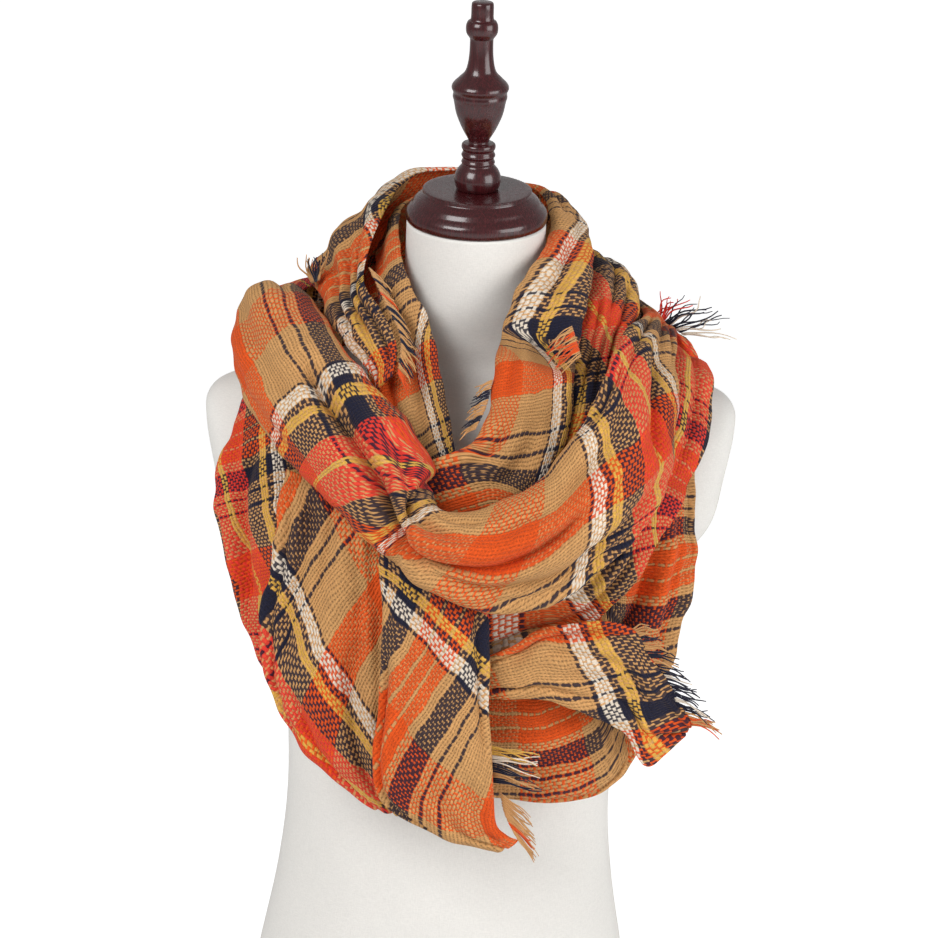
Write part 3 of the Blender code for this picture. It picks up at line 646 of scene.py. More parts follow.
FRINGES = [
    Fringe("flap_fringe", FLAP_FRAY, 62, 0.75, 1.6, "TTNTTNNTNNWNNNNWNNTTOTTOT"),
    Fringe("hem_fringe", HEM_FRAY, 22, 0.75, 1.6, "YYYYWWWNNNTTNN"),
    Fringe("tip_fringe", TIP_FRAY, 40, 0.7, 1.6, "TTTOTT"),
    Fringe("collar_fringe", COLLAR_FRAY, 60, 0.7, 1.6, "TTNTTOTTNTNTTNTNTTTNTO"),
    Fringe("shoulder_fringe", SHOULDER_FRAY, 18, 0.7, 2.2, "TTNNT"),
    Fringe("overlay_fringe", OVERLAY_FRAY, 22, 0.7, 1.8, "TOTOOT"),
    Fringe("neck_fringe", NECK_FRAY, 34, 0.65, 1.4, "TNTTNT"),
    Fringe("tail_fringe", TAIL_FRAY, 26, 0.75, 4.2, "RRRRRNNNWNNWWNWW"),
]

# The plaid, as half of each sett from its middle outwards: a colour's letter and how many yarns of it follow
WARP_HALF = [("Y", 1), ("R", 8), ("N", 8), ("Y", 3), ("N", 2), ("W", 4), ("N", 1), ("T", 18), ("O", 9)]
WEFT_HALF = [
    ("O", 6), ("T", 12), ("N", 1), ("T", 4), ("N", 1), ("T", 3), ("N", 7), ("T", 3), ("O", 4), ("T", 1),
    ("O", 2),
]
DYES = {"T": "tan", "O": "orange", "R": "red", "N": "navy", "Y": "mustard", "W": "white"}

# How much higher a bulky yarn stands than a thin one, in yarn half widths, so that it covers more
WARP_BULK = {"T": 0, "O": 0.15, "R": 0.85, "N": 0.75, "Y": 0.8, "W": 0.7}
WEFT_BULK = {"T": 0.35, "O": 0.75, "N": 0.72}

# Shapes of the cloth and the form, in millimetres
LAY_BLEND = 8  # either way that a lay is averaged over
LAY_READS = 9  # places that it is averaged from
FOLD_FADE = 0.25  # share of a crease's length over which it fades at each end
RIPPLE_LENGTHS = (52, 37, 26, 19)
RIPPLE_HEIGHT = 0.9  # of the longest ripple
FORM_GAP = 1.6  # from the form to the middle of the cloth on it
LEAST_INSIDE = 0.2  # share of the form's half sizes, and nothing is taken to be nearer to its middle
TORSO_SIDES = 180
TORSO_ROWS = 220  # from the base up to the neck cap
FOOT_INSET = 0.5  # size of the inner ring of the underside, as a share of its outline
TURNED_SIDES = 96
TURNED_STEPS = 4  # rings between two rows of a turned profile

# Loose yarns of the fringes
YARN_RINGS = 9  # along a yarn
YARN_SIDES = 5
SEED_STEP = 7  # between the random draws of two fringes whose names differ by a letter
ROOT_STRAY = 0.3  # of their spacing, either way along the edge
ROOT_DEPTH = 2  # millimetres that they start behind the edge
LENGTHS = (0.72, 1.08)  # of the table's length
SWAY = 0.16  # of a yarn's length, at its end
WAVES = (0.6, 1.6)  # how many, over 1 / WAVE_SHARE of a yarn's length
WAVE_SHARE = 0.8
LIFT_SHARE = 0.6  # how much they wander upwards, as a share of sideways
RADII = (0.7, 1.15)  # of the fringe's yarn radius
TAPER = 0.45  # share of its radius that a yarn loses towards its end
LAST_COLOUR = 0.01  # keeps the last yarn within the colours

# The weave: heights in yarn half widths, distances in metres, noise scales per metre
SETT_DRIFT = ((160, 0.0014), (50, 0.005), (18, 0.008))  # noise scale, and how far it moves the sett
DRIFT_DETAIL = 2
YARN_RISE = 0.35  # how far a yarn rises and sinks where it crosses the others
YARN_HALF_WIDTH = 0.38  # of the yarns' spacing
TONE_SEEDS = (0.25, 500.25)  # so that warp and weft yarns get different tones
YARN_TONE = 0.09  # how much brighter or darker a yarn is than the next
GRAIN_DETAIL = 3
GRAIN_RANGE = (0.25, 0.75)  # what a noise of this detail mostly gives
RAGGED_SCALE = 900  # of the stray fibres along a yarn's edge
RAGGED = 1.3  # how much a yarn's edge strays
EDGE_BLUR = 0.26  # how soft a yarn's edge is
FUZZ = 0.07  # share of the colour of the yarn beneath that shows between the fibres
FIBRE_SCALE = 1400
FIBRE_TONE = 0.25  # how much brighter or darker a fibre is than its yarn
PAINTED_SHADE_HEIGHTS = (0.1, 1.2)  # where the painted shade between the yarns is darkest, and where it has ended
PAINTED_SHADE_TONE = 0.4  # brightness of the painted shade in the low gaps between the yarns
ROUGH_SCALE = 2200
ROUGH_HEIGHT = 0.35  # of the fibres that stand up from the yarns
RELIEF = 0.35  # depth of the weave's bumps, as a share of the yarns' spacing

# Other surfaces
TWIST_SCALE = 1500  # of a loose yarn's fibres
TWIST_TONES = (0.75, 1.15)  # brightness of a fibre
SLUBS = ((300, 300, 1800), (1800, 1800, 300))  # noise scales of the linen's two yarn directions
LINEN_TONES = (0.7, 1.3, 0.94, 1.04)  # a noise's low and high, and the brightness that each gives
CLOUD_SCALE = 9  # of the linen's soft clouds
CLOUD_TONES = (0.3, 0.7, 0.97, 1.02)
WOOD_GRAIN = (700, 700, 30)
WOOD_DETAIL = 4
WOOD_MIX = (0.35, 0.7, 0, 1)  # the grain's low and high, and the share of light wood there
WOOD_ROUGHNESS = (0.3, 0.7, 0.2, 0.32)

# The stage, in metres
KEY_LIGHT = ((-1.3, -1.7, 1.9), 1.3)  # place and size
FILL_LIGHT = ((1.9, -1.2, 1), 1.6)
SKY_SEEN = 0.92  # strength of the sky where the camera looks at it
FLOOR_REACH = 6  # to its front, its sides and the backdrop's top
FLOOR_COLUMNS = 5
BEND_PLACE = 2.5  # behind the form, where the floor starts to rise
BEND_RADIUS = 1.5
BEND_POINTS = 24
CAMERA_DISTANCE = 2
CAMERA_TARGET = (0, 0, 0.5)
CAMERA_DROP = math.radians(14)  # that it looks down by
CAMERA_ROLL = math.radians(1.7)  # about its own view
CAMERA_SENSOR = 36  # millimetres
CAMERA_LENS = 102.35  # millimetres


def curve_through(rows, places, closed=False):
    """Catmull-Rom curve through a table's rows, read at places from 0 to 1 along it.

    At share s between the rows p1 and p2 it is half of
    2 p1 + (p2 - p0) s + (2 p0 - 5 p1 + 4 p2 - p3) s^2 + (3 p1 - p0 - 3 p2 + p3) s^3.
    A closed curve goes on from its last row to its first.
    """
    rows = np.array(rows, float)
    count = len(rows)
    if closed:
        at = places * count
        first = np.floor(at).astype(int)
        p0, p1, p2, p3 = (rows[(first + step) % count] for step in (-1, 0, 1, 2))
    else:
        ends = np.vstack([2 * rows[0] - rows[1], rows, 2 * rows[-1] - rows[-2]])
        at = places * (count - 1)
        first = np.minimum(np.floor(at).astype(int), count - 2)
        p0, p1, p2, p3 = (ends[first + step] for step in (0, 1, 2, 3))
    s = (at - first)[:, None]
    return 0.5 * (
        2 * p1 + (p2 - p0) * s + (2 * p0 - 5 * p1 + 4 * p2 - p3) * s**2 + (3 * p1 - p0 - 3 * p2 + p3) * s**3
    )


def unit(vectors):
    """Vectors divided by their own lengths."""
    return vectors / np.maximum(np.linalg.norm(vectors, axis=-1, keepdims=True), 1e-9)


def slope(points, closed=False):
    """The direction along the first axis of a line or grid of points, from the points before and after."""
    if closed:
        return np.roll(points, -1, 0) - np.roll(points, 1, 0)
    return np.gradient(points, axis=0)


def smooth_step(x):
    """0 below 0, 1 above 1, and 3 x^2 - 2 x^3 between."""
    x = np.clip(x, 0, 1)
    return x * x * (3 - 2 * x)


def fold_depth(folds, along, across, closed):
    """How far creases press cloth in: a bell exp(-(distance / width)^2) across each, fading at its ends."""
    total = np.zeros((len(along), len(across)))
    for start, end, from_across, to_across, width, depth in folds:
        for turn in (0, 1) if closed else (0,):
            place = (along + turn - start) / (end - start)
            fade = smooth_step(place / FOLD_FADE) * smooth_step((1 - place) / FOLD_FADE)
            centre = from_across + (to_across - from_across) * np.clip(place, 0, 1)
            away = (across[None, :] - centre[:, None]) / width
            total += depth * fade[:, None] * np.exp(-(away**2))
    return total


def ripples(points, seed):
    """Small uneven waves of soft cloth: a sum of sines of the place in space, each with its own direction.

    Term k is A_k sin(2 pi (direction_k . place) / length_k + phase_k), with lengths from RIPPLE_LENGTHS and
    A_k in proportion to the length.
    """
    draw = np.random.default_rng(seed)
    height = np.zeros(points.shape[:-1])
    for length in RIPPLE_LENGTHS:
        direction = unit(draw.normal(size=3))
        phase = draw.uniform(0, FULL_TURN)
        wave = np.sin(FULL_TURN * (points @ direction) / length + phase)
        height += RIPPLE_HEIGHT * length / RIPPLE_LENGTHS[0] * wave
    return height


def cloth_surface(stretch):
    """Points on the middle of a stretch of cloth, in millimetres, and the sett coordinates there.

    Each section is an arc of an ellipse from edge a to edge b. With M the middle of the edges, W half their
    distance, N the outward direction (W x path), phi = side * under and c = crown, a point is
    M + W sin(phi) / sin(min(under, 90)) + N c (cos(phi) - base), where base is cos(under) at each edge, never
    below 0. Creases and ripples are pressed in along the surface's normals, (across) x (along).
    """
    closed = stretch.closed
    rows, columns = stretch.grid
    along = np.arange(rows) / rows if closed else np.linspace(0, 1, rows)
    across = np.linspace(0, 1, columns)
    table = curve_through(stretch.sections, along, closed)
    edge_a, edge_b, crown = table[:, 0:3], table[:, 3:6], table[:, 6]
    middle, half = (edge_a + edge_b) / 2, (edge_b - edge_a) / 2
    outward = unit(np.cross(half, slope(middle, closed)))
    side = 2 * across - 1
    under_a, under_b = np.radians(table[:, 7:8]), np.radians(table[:, 8:9])
    under = np.where(side < 0, under_a, under_b)
    angle = side * under
    reach = np.sin(angle) / np.sin(np.minimum(under, math.pi / 2))
    base = np.maximum(np.cos(under_a), 0) * (1 - across) + np.maximum(np.cos(under_b), 0) * across
    rise = crown[:, None] * (np.cos(angle) - base)
    points = middle[:, None] + half[:, None] * reach[..., None] + outward[:, None] * rise[..., None]
    press = fold_depth(stretch.folds, along, across, closed) - ripples(points, len(stretch.name))
    normals = unit(np.cross(np.gradient(points, axis=1), slope(points, closed)))
    return clear_of_form(points - normals * press[..., None]), sett_places(points, stretch)


def clear_of_form(points):
    """Points, with those inside the form moved out of it.

    With the form's ring at a point's height, and u and v its place there as shares of the ring's half sizes,
    a point is inside where |u|^p + |v|^p is below 1. It then moves straight out, until it is FORM_GAP off.
    """
    rings = np.array(TORSO, float)
    half_x, half_y, middle_x, middle_y, power = (
        np.interp(points[..., 2], rings[:, 0], rings[:, column]) for column in (1, 2, 3, 4, 5)
    )
    u = (points[..., 0] - middle_x) / (half_x + FORM_GAP)
    v = (points[..., 1] - middle_y) / (half_y + FORM_GAP)
    inside = (np.abs(u) ** power + np.abs(v) ** power) ** (1 / power)
    out = np.where(points[..., 2] < rings[-1, 0], np.maximum(1 / np.maximum(inside, LEAST_INSIDE), 1), 1)
    moved = points.copy()
    moved[..., 0] = middle_x + (points[..., 0] - middle_x) * out
    moved[..., 1] = middle_y + (points[..., 1] - middle_y) * out
    return moved


def lay_at(rows, places, closed):
    """A lay's rows read at places along the middle line, each averaged over LAY_BLEND either way.

    A closed stretch's lay goes on past both its ends, a whole turn each way.
    """
    table = np.array(rows, float)
    if closed:
        turn = table[-1:] - table[:1]
        turn[:, 3:] = 0
        table = np.vstack([table[:-1] - turn, table, table[1:] + turn])
    read = places[:, None] + np.linspace(-LAY_BLEND, LAY_BLEND, LAY_READS)
    if not closed:
        read = np.clip(read, table[0, 0], table[-1, 0])
    return np.stack([np.interp(read, table[:, 0], table[:, column]).mean(axis=1) for column in (1, 2, 3, 4)])


def sett_places(points, stretch):
    """The plaid's warp and weft coordinates over a stretch, in millimetres, true to the cloth's own lengths.

    With U the length along the middle line and V the length across from it, each coordinate is
    c(U) + V k(U), where the lay gives c and k. A closed stretch gets one more row, where its ends meet.
    """
    if stretch.closed:
        points = np.concatenate([points, points[:1]])
    steps = np.linalg.norm(np.diff(points, axis=1), axis=2)
    widths = np.concatenate([np.zeros((len(points), 1)), np.cumsum(steps, axis=1)], axis=1)
    from_middle = widths - widths[:, -1:] / 2
    centre = points[:, points.shape[1] // 2]
    run = np.concatenate([[0], np.cumsum(np.linalg.norm(np.diff(centre, axis=0), axis=1))])
    run *= stretch.lay[-1][0] / run[-1]
    warp, weft, warp_across, weft_across = lay_at(stretch.lay, run, stretch.closed)[:, :, None]
    return np.stack([warp + from_middle * warp_across, weft + from_middle * weft_across], axis=-1)


def quads_of(rows, columns, closed_rows=False, closed_columns=False):
    """Corner indices of a grid's quads, in the order that faces outwards, as an array with 4 columns."""
    spans = np.arange(rows - (not closed_rows)), np.arange(columns - (not closed_columns))
    i, j = (index.ravel() for index in np.meshgrid(*spans, indexing="ij"))
    after_i, after_j = (i + 1) % rows, (j + 1) % columns
    corners = i * columns + j, i * columns + after_j, after_i * columns + after_j, after_i * columns + j
    return np.stack(corners, 1)


def tube_faces(rows, columns, tubes=1):
    """Faces of tubes that are made of rings, each tube with a face over either end."""
    ring = np.arange(columns)[None]
    first = np.arange(tubes)[:, None, None] * rows * columns
    parts = quads_of(rows, columns, closed_columns=True), ring[:, ::-1], (rows - 1) * columns + ring
    return [face for part in parts for face in (first + part).reshape(-1, part.shape[1]).tolist()]


def new_object(name, points, faces, material):
    """A shaded-smooth object in the scene, from points in metres."""
    mesh = bpy.data.meshes.new(name)
    mesh.from_pydata(points.reshape(-1, 3).tolist(), [], faces)
    mesh.shade_smooth()
    mesh.materials.append(material)
    made = bpy.data.objects.new(name, mesh)
    bpy.context.scene.collection.objects.link(made)
    return made


def add_piece(name, points, faces, material, replaced):
    """A piece from points in millimetres, riding on the one body and standing for the named CAD node."""
    made = new_object(name, points * MM, faces, material)
    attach(made, "root")
    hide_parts(replaced)
    return made


def add_cloth(stretch, wall):
    """One stretch of cloth as a shell of even thickness, with the sett as its UV map, in metres."""
    points, sett = cloth_surface(stretch)
    rows, columns = stretch.grid
    faces = quads_of(rows, columns, closed_rows=stretch.closed).tolist()
    cloth = add_piece("cloth_" + stretch.name, points, faces, plaid_material(), stretch.name)
    flat = quads_of(len(sett), columns)
    corners = sett.reshape(-1, 2)[flat.ravel()] * MM
    layer = cloth.data.uv_layers.new(name="sett")
    layer.data.foreach_set("uv", corners.astype(np.float32).ravel())
    solid = cloth.modifiers.new("wall", "SOLIDIFY")
    solid.thickness = wall
    solid.offset = 0
    return cloth


class Graph:
    """Short hand for a node tree: each call adds one node and returns its output."""

    def __init__(self, tree):
        self.tree = tree

    def add(self, kind, **settings):
        node = self.tree.nodes.new(kind)
        for name, value in settings.items():
            setattr(node, name, value)
        return node

    def feed(self, socket, value):
        """Link what another node puts out to a socket, or set the socket to a plain value."""
        if isinstance(value, bpy.types.NodeSocket):
            self.tree.links.new(value, socket)
        else:
            socket.default_value = value

    def fill(self, node, **values):
        """Feed a node's sockets by name, with _ for a space."""
        for label, value in values.items():
            self.feed(node.inputs[label.replace("_", " ")], value)

    def chain(self, node, values):
        """Feed a node's first sockets in order, and return its first output."""
        for socket, value in zip(node.inputs, values):
            self.feed(socket, value)
        return node.outputs[0]

    def math(self, operation, *values):
        return self.chain(self.add("ShaderNodeMath", operation=operation), values)

    def vector(self, operation, *values):
        return self.chain(self.add("ShaderNodeVectorMath", operation=operation), values)

    def span(self, value, low, high, to_low, to_high):
        return self.chain(self.add("ShaderNodeMapRange"), (value, low, high, to_low, to_high))

    def scaled(self, vector, factor):
        node = self.add("ShaderNodeVectorMath", operation="SCALE")
        self.fill(node, Vector=vector, Scale=factor)
        return node.outputs[0]

    def mix(self, factor, first, second):
        """The first colour, and by the factor more of the second, on the Mix node's sockets for colours."""
        node = self.add("ShaderNodeMix", data_type="RGBA")
        for index, value in ((0, factor), (6, first), (7, second)):
            self.feed(node.inputs[index], value)
        return node.outputs[2]

    def noise(self, vector, scale, detail=GRAIN_DETAIL, output="Fac"):
        node = self.add("ShaderNodeTexNoise")
        self.fill(node, Vector=vector, Scale=scale, Detail=detail)
        return node.outputs[output]

    def tone(self, colour, brightness):
        """The colour with its value multiplied by a number that changes over the surface."""
        node = self.add("ShaderNodeHueSaturation")
        self.fill(node, Color=colour, Value=brightness)
        return node.outputs[0]

    def stripes(self, share, runs):
        """A colour ramp with hard edges, from runs of a colour, its bulk and how many yarns of it follow.

        It puts out the colour and the bulk.
        """
        node = self.add("ShaderNodeValToRGB")
        self.feed(node.inputs[0], share)
        ramp = node.color_ramp
        ramp.interpolation = "CONSTANT"
        total = sum(count for _, _, count in runs)
        start = 0
        for index, (colour, bulk, count) in enumerate(runs):
            stop = ramp.elements[index] if index < 1 else ramp.elements.new(start / total)
            stop.position = start / total
            stop.color = (*colour, bulk)
            start += count
        while len(ramp.elements) > len(runs):
            ramp.elements.remove(ramp.elements[-1])
        return node.outputs[0], node.outputs[1]

    def object_place(self):
        return self.add("ShaderNodeTexCoord").outputs["Object"]

    def seen(self):
        """1 where the camera looks straight at the surface, 0 where its light is only passed on."""
        return self.add("ShaderNodeLightPath").outputs["Is Camera Ray"]

    def relief(self, shader, height, strength, distance):
        """Bumps in a shader's surface."""
        bump = self.add("ShaderNodeBump")
        self.fill(bump, Strength=strength, Distance=distance, Height=height)
        self.fill(shader, Normal=bump.outputs["Normal"])


def new_material(name):
    """A material with a bare Principled shader, as (material, graph, shader)."""
    material = bpy.data.materials.new(name)
    material.use_nodes = True
    return material, Graph(material.node_tree), material.node_tree.nodes["Principled BSDF"]


def dye_of(letter):
    """The colour that a letter of the sett stands for."""
    return tuple(getattr(bpy.context.scene.scarf, DYES[letter]))


def weave_group():
    """Plain weave of thick yarns, with two setts of stripes.

    In yarns, u and v are the warp and weft coordinates, i and j their whole parts, x and y what is left, less
    a half. A warp yarn's height is A cos(pi (v - 0.5 + i)) + sqrt(1 - (x / r)^2) + bulk, and a weft yarn's is
    -A cos(pi (u - 0.5 + j)) + sqrt(1 - (y / r)^2) + bulk, with r the yarn's half width. The higher of the two
    shows its colour, with a soft ragged edge.
    """
    name = "Woven plaid"
    if name in bpy.data.node_groups:
        return bpy.data.node_groups[name]
    group = bpy.data.node_groups.new(name, "ShaderNodeTree")
    group.interface.new_socket(name="Sett", in_out="INPUT", socket_type="NodeSocketVector")
    group.interface.new_socket(name="Color", in_out="OUTPUT", socket_type="NodeSocketColor")
    group.interface.new_socket(name="Height", in_out="OUTPUT", socket_type="NodeSocketFloat")
    graph = Graph(group)
    place = graph.add("NodeGroupInput").outputs["Sett"]
    for scale, amount in SETT_DRIFT:
        noise = graph.noise(place, scale, DRIFT_DETAIL, "Color")
        stray = graph.vector("SUBTRACT", noise, (0.5, 0.5, 0.5))
        place = graph.vector("ADD", place, graph.scaled(stray, amount))
    split = graph.add("ShaderNodeSeparateXYZ")
    graph.feed(split.inputs[0], place)
    yarns = [graph.math("DIVIDE", split.outputs[axis], bpy.context.scene.scarf.pitch) for axis in (0, 1)]
    whole = [graph.math("FLOOR", count) for count in yarns]
    heights, shown = [], []
    setts = ((YARN_RISE, WARP_HALF, WARP_BULK), (-YARN_RISE, WEFT_HALF, WEFT_BULK))
    for axis, (rise, half, bulks) in enumerate(setts):
        beat = graph.math("ADD", graph.math("SUBTRACT", yarns[1 - axis], 0.5), whole[axis])
        wave = graph.math("MULTIPLY", graph.math("COSINE", graph.math("MULTIPLY", beat, math.pi)), rise)
        rest = graph.math("SUBTRACT", graph.math("SUBTRACT", yarns[axis], whole[axis]), 0.5)
        away = graph.math("DIVIDE", rest, YARN_HALF_WIDTH)
        under_root = graph.math("SUBTRACT", 1, graph.math("MULTIPLY", away, away))
        arch = graph.math("SQRT", graph.math("MAXIMUM", under_root, 0))
        runs = [(dye_of(letter), bulks[letter], count) for letter, count in half + half[::-1]]
        repeat = sum(count for _, _, count in runs)
        share = graph.math("FRACT", graph.math("DIVIDE", graph.math("ADD", whole[axis], 0.5), repeat))
        dye, bulk = graph.stripes(share, runs)
        dice = graph.add("ShaderNodeTexWhiteNoise", noise_dimensions="1D")
        graph.fill(dice, W=graph.math("ADD", whole[axis], TONE_SEEDS[axis]))
        tone = graph.span(dice.outputs["Value"], 0, 1, 1 - YARN_TONE, 1 + YARN_TONE)
        shown.append(graph.tone(dye, tone))
        heights.append(graph.math("ADD", graph.math("ADD", wave, arch), bulk))
    ragged = graph.math("MULTIPLY", graph.math("SUBTRACT", graph.noise(place, RAGGED_SCALE), 0.5), RAGGED)
    lead = graph.math("ADD", graph.math("SUBTRACT", heights[1], heights[0]), ragged)
    colour = graph.mix(graph.span(lead, -EDGE_BLUR, EDGE_BLUR, FUZZ, 1 - FUZZ), *shown)
    height = graph.math("MAXIMUM", *heights)
    fibre = graph.span(graph.noise(place, FIBRE_SCALE), *GRAIN_RANGE, 1 - FIBRE_TONE, 1 + FIBRE_TONE)
    # Painted shade: the colour is darkened where the weave is low, in the gaps between the yarns, where shade
    # falls
    painted_shade = graph.span(height, *PAINTED_SHADE_HEIGHTS, PAINTED_SHADE_TONE, 1)
    rough = graph.math("MULTIPLY", graph.noise(place, ROUGH_SCALE), ROUGH_HEIGHT)
    colour = graph.tone(colour, graph.math("MULTIPLY", fibre, painted_shade))
    graph.fill(graph.add("NodeGroupOutput"), Color=colour, Height=graph.math("ADD", height, rough))
    return group


def plaid_material():
    """The scarf's cloth: the woven plaid on the piece's sett coordinates, matt with a soft sheen."""
    name = "Plaid wool"
    if name in bpy.data.materials:
        return bpy.data.materials[name]
    material, graph, shader = new_material(name)
    weave = graph.add("ShaderNodeGroup", node_tree=weave_group())
    graph.fill(weave, Sett=graph.add("ShaderNodeUVMap", uv_map="sett").outputs["UV"])
    graph.fill(shader, Base_Color=weave.outputs["Color"], Roughness=0.85, Specular_IOR_Level=0.2)
    graph.fill(shader, Sheen_Weight=0.1, Sheen_Tint=(1, 0.72, 0.5, 1))
    depth = bpy.context.scene.scarf.pitch * RELIEF
    graph.relief(shader, weave.outputs["Height"], strength=0.8, distance=depth)
    return material


def yarn_material():
    """Loose yarns, in the colour that each yarn's points carry, with a twist along it and a soft sheen."""
    name = "Loose yarn"
    if name in bpy.data.materials:
        return bpy.data.materials[name]
    material, graph, shader = new_material(name)
    dye = graph.add("ShaderNodeAttribute", attribute_name="yarn_colour").outputs["Color"]
    fibre = graph.noise(graph.object_place(), TWIST_SCALE)
    colour = graph.tone(dye, graph.span(fibre, *GRAIN_RANGE, *TWIST_TONES))
    graph.fill(shader, Base_Color=colour, Roughness=0.85, Specular_IOR_Level=0.2, Sheen_Weight=0.25)
    graph.relief(shader, fibre, strength=0.5, distance=0.0003)
    return material


def linen_material():
    """The form's cover: off-white linen with a fine uneven weave."""
    material, graph, shader = new_material("Linen cover")
    place = graph.object_place()
    weave = graph.math("ADD", *(graph.noise(graph.vector("MULTIPLY", place, scales), 1) for scales in SLUBS))
    cloud = graph.span(graph.noise(place, CLOUD_SCALE), *CLOUD_TONES)
    tone = graph.math("MULTIPLY", graph.span(weave, *LINEN_TONES), cloud)
    colour = graph.tone((*bpy.context.scene.dress_form.linen, 1), tone)
    graph.fill(shader, Base_Color=colour, Roughness=0.85, Sheen_Weight=0.15)
    graph.relief(shader, weave, strength=0.35, distance=0.0004)
    return material


def wood_material():
    """Dark red stained wood under gloss lacquer, with a faint grain along the piece."""
    material, graph, shader = new_material("Stained wood")
    grain = graph.noise(graph.vector("MULTIPLY", graph.object_place(), WOOD_GRAIN), 1, WOOD_DETAIL)
    form = bpy.context.scene.dress_form
    colour = graph.mix(graph.span(grain, *WOOD_MIX), (*form.wood_dark, 1), (*form.wood_light, 1))
    graph.fill(shader, Base_Color=colour, Roughness=graph.span(grain, *WOOD_ROUGHNESS))
    graph.fill(shader, Coat_Weight=0.45, Coat_Roughness=0.08)
    return material


def add_fringe(fringe):
    """Loose yarns of a frayed edge, as closed tapered tubes in one mesh.

    Yarn k leaves the edge near share k / (yarns - 1). For t from 0 to 1, its middle line is
    root + out (length t - ROOT_DEPTH (1 - t)) + along (sway t^2 + w t) + up (lift t^2 + LIFT_SHARE w' t),
    less droop t^2 in height, with w and w' sine waves of t. Its radius is r (1 - TAPER t^2).
    """
    count = fringe.yarns
    draw = np.random.default_rng(len(fringe.name) * SEED_STEP + count)
    share = np.linspace(0, 1, count)
    share[1:-1] += draw.uniform(-ROOT_STRAY, ROOT_STRAY, count - 2) / count
    table = curve_through(fringe.places, share)
    root, out, length, droop = table[:, 0:3], unit(table[:, 3:6]), table[:, 6:7], table[:, 7:8]
    along = unit(slope(root))
    up = unit(np.cross(along, out))
    length = length * draw.uniform(*LENGTHS, count)[:, None]
    t = np.linspace(0, 1, YARN_RINGS)
    sway, lift = draw.normal(0, SWAY, (2, count, 1)) * length
    wave = draw.uniform(*WAVES, (2, count, 1))
    phase = draw.uniform(0, FULL_TURN, (2, count, 1))
    curl = fringe.wander * (np.sin(wave * FULL_TURN * t * WAVE_SHARE + phase) - np.sin(phase))
    reach = length * t - ROOT_DEPTH * (1 - t)
    side = sway * t**2 + curl[0] * t
    rise = lift * t**2 + LIFT_SHARE * curl[1] * t
    down = np.array((0, 0, 1)) * (droop * t**2)[..., None]
    centre = root[:, None] + out[:, None] * reach[..., None] + along[:, None] * side[..., None]
    centre = centre + up[:, None] * rise[..., None] - down
    ahead = unit(np.gradient(centre, axis=1))
    across = unit(np.cross(ahead, up[:, None]))
    over = np.cross(across, ahead)
    radius = fringe.radius * draw.uniform(*RADII, count)[:, None] * (1 - TAPER * t**2)
    turn = FULL_TURN * np.arange(YARN_SIDES) / YARN_SIDES
    ring = across[:, :, None] * np.cos(turn)[:, None] + over[:, :, None] * np.sin(turn)[:, None]
    points = centre[:, :, None] + ring * radius[:, :, None, None]
    faces = tube_faces(YARN_RINGS, YARN_SIDES, count)
    made = add_piece("yarns_" + fringe.name, points, faces, yarn_material(), fringe.name)
    colours = fringe.colours
    letters = [colours[int(place * (len(colours) - LAST_COLOUR))] for place in share]
    shades = np.array([(*dye_of(letter), 1) for letter in letters], np.float32)
    layer = made.data.color_attributes.new("yarn_colour", "FLOAT_COLOR", "POINT")
    layer.data.foreach_set("color", np.repeat(shades, YARN_RINGS * YARN_SIDES, axis=0).ravel())


def add_torso():
    """The form's body, smooth through rings of the table.

    A ring at height z is x = middle_x + half_x sign(cos a) |cos a|^(2 / power), and the same with sin for y.
    The last ring is the neck's circle, leaning forward. The underside is flat, with a sharp edge.
    """
    angles = FULL_TURN * np.arange(TORSO_SIDES) / TORSO_SIDES
    cos, sin = np.cos(angles), np.sin(angles)
    z, half_x, half_y, middle_x, middle_y, power = np.array(TORSO, float).T[:, :, None]
    x = middle_x + half_x * np.sign(cos) * np.abs(cos) ** (2 / power)
    y = middle_y + half_y * np.sign(sin) * np.abs(sin) ** (2 / power)
    rings = np.stack([x, y, np.broadcast_to(z, x.shape)], axis=-1)
    top = NECK_RADIUS * np.stack([cos, sin * math.cos(NECK_TILT), sin * math.sin(NECK_TILT)], axis=1)
    top += np.array(NECK_TOP) - (0, 0, SEAM_GAP)
    rings = np.concatenate([rings, top[None]]).reshape(len(rings) + 1, -1)
    body = curve_through(rings, np.linspace(0, 1, TORSO_ROWS)).reshape(TORSO_ROWS, -1, 3)
    foot = np.broadcast_to(body[0].mean(axis=0), body[:1].shape)
    points = np.concatenate([foot + (body[:1] - foot) * FOOT_INSET, body])
    add_piece("form_body", points, tube_faces(*points.shape[:2]), linen_material(), "form_torso")


def add_turned(name, profile, material, replaced):
    """A piece turned on the neck's line: its profile of radius r and height h swept round, then tilted.

    From the neck's top, a point is (r cos a, r sin a cos(tilt) - h sin(tilt),
    r sin a sin(tilt) + h cos(tilt)).
    """
    rows = np.array([row for row in reversed(profile) if row[0] > 0], float)
    fine = curve_through(rows, np.linspace(0, 1, (len(rows) - 1) * TURNED_STEPS + 1))
    angles = FULL_TURN * np.arange(TURNED_SIDES) / TURNED_SIDES
    cos, sin = math.cos(NECK_TILT), math.sin(NECK_TILT)
    x = fine[:, :1] * np.cos(angles)
    y = fine[:, :1] * np.sin(angles)
    height = fine[:, 1:2]
    points = np.stack([x, y * cos - height * sin, y * sin + height * cos], -1) + np.array(NECK_TOP)
    add_piece(name, points, tube_faces(*points.shape[:2]), material, replaced)


Colour = partial(bpy.props.FloatVectorProperty, subtype="COLOR", size=3)
Length = partial(bpy.props.FloatProperty, unit="LENGTH", min=0.0005)
Power = partial(bpy.props.FloatProperty, unit="POWER", min=0)
Strength = partial(bpy.props.FloatProperty, unit="NONE", min=0)


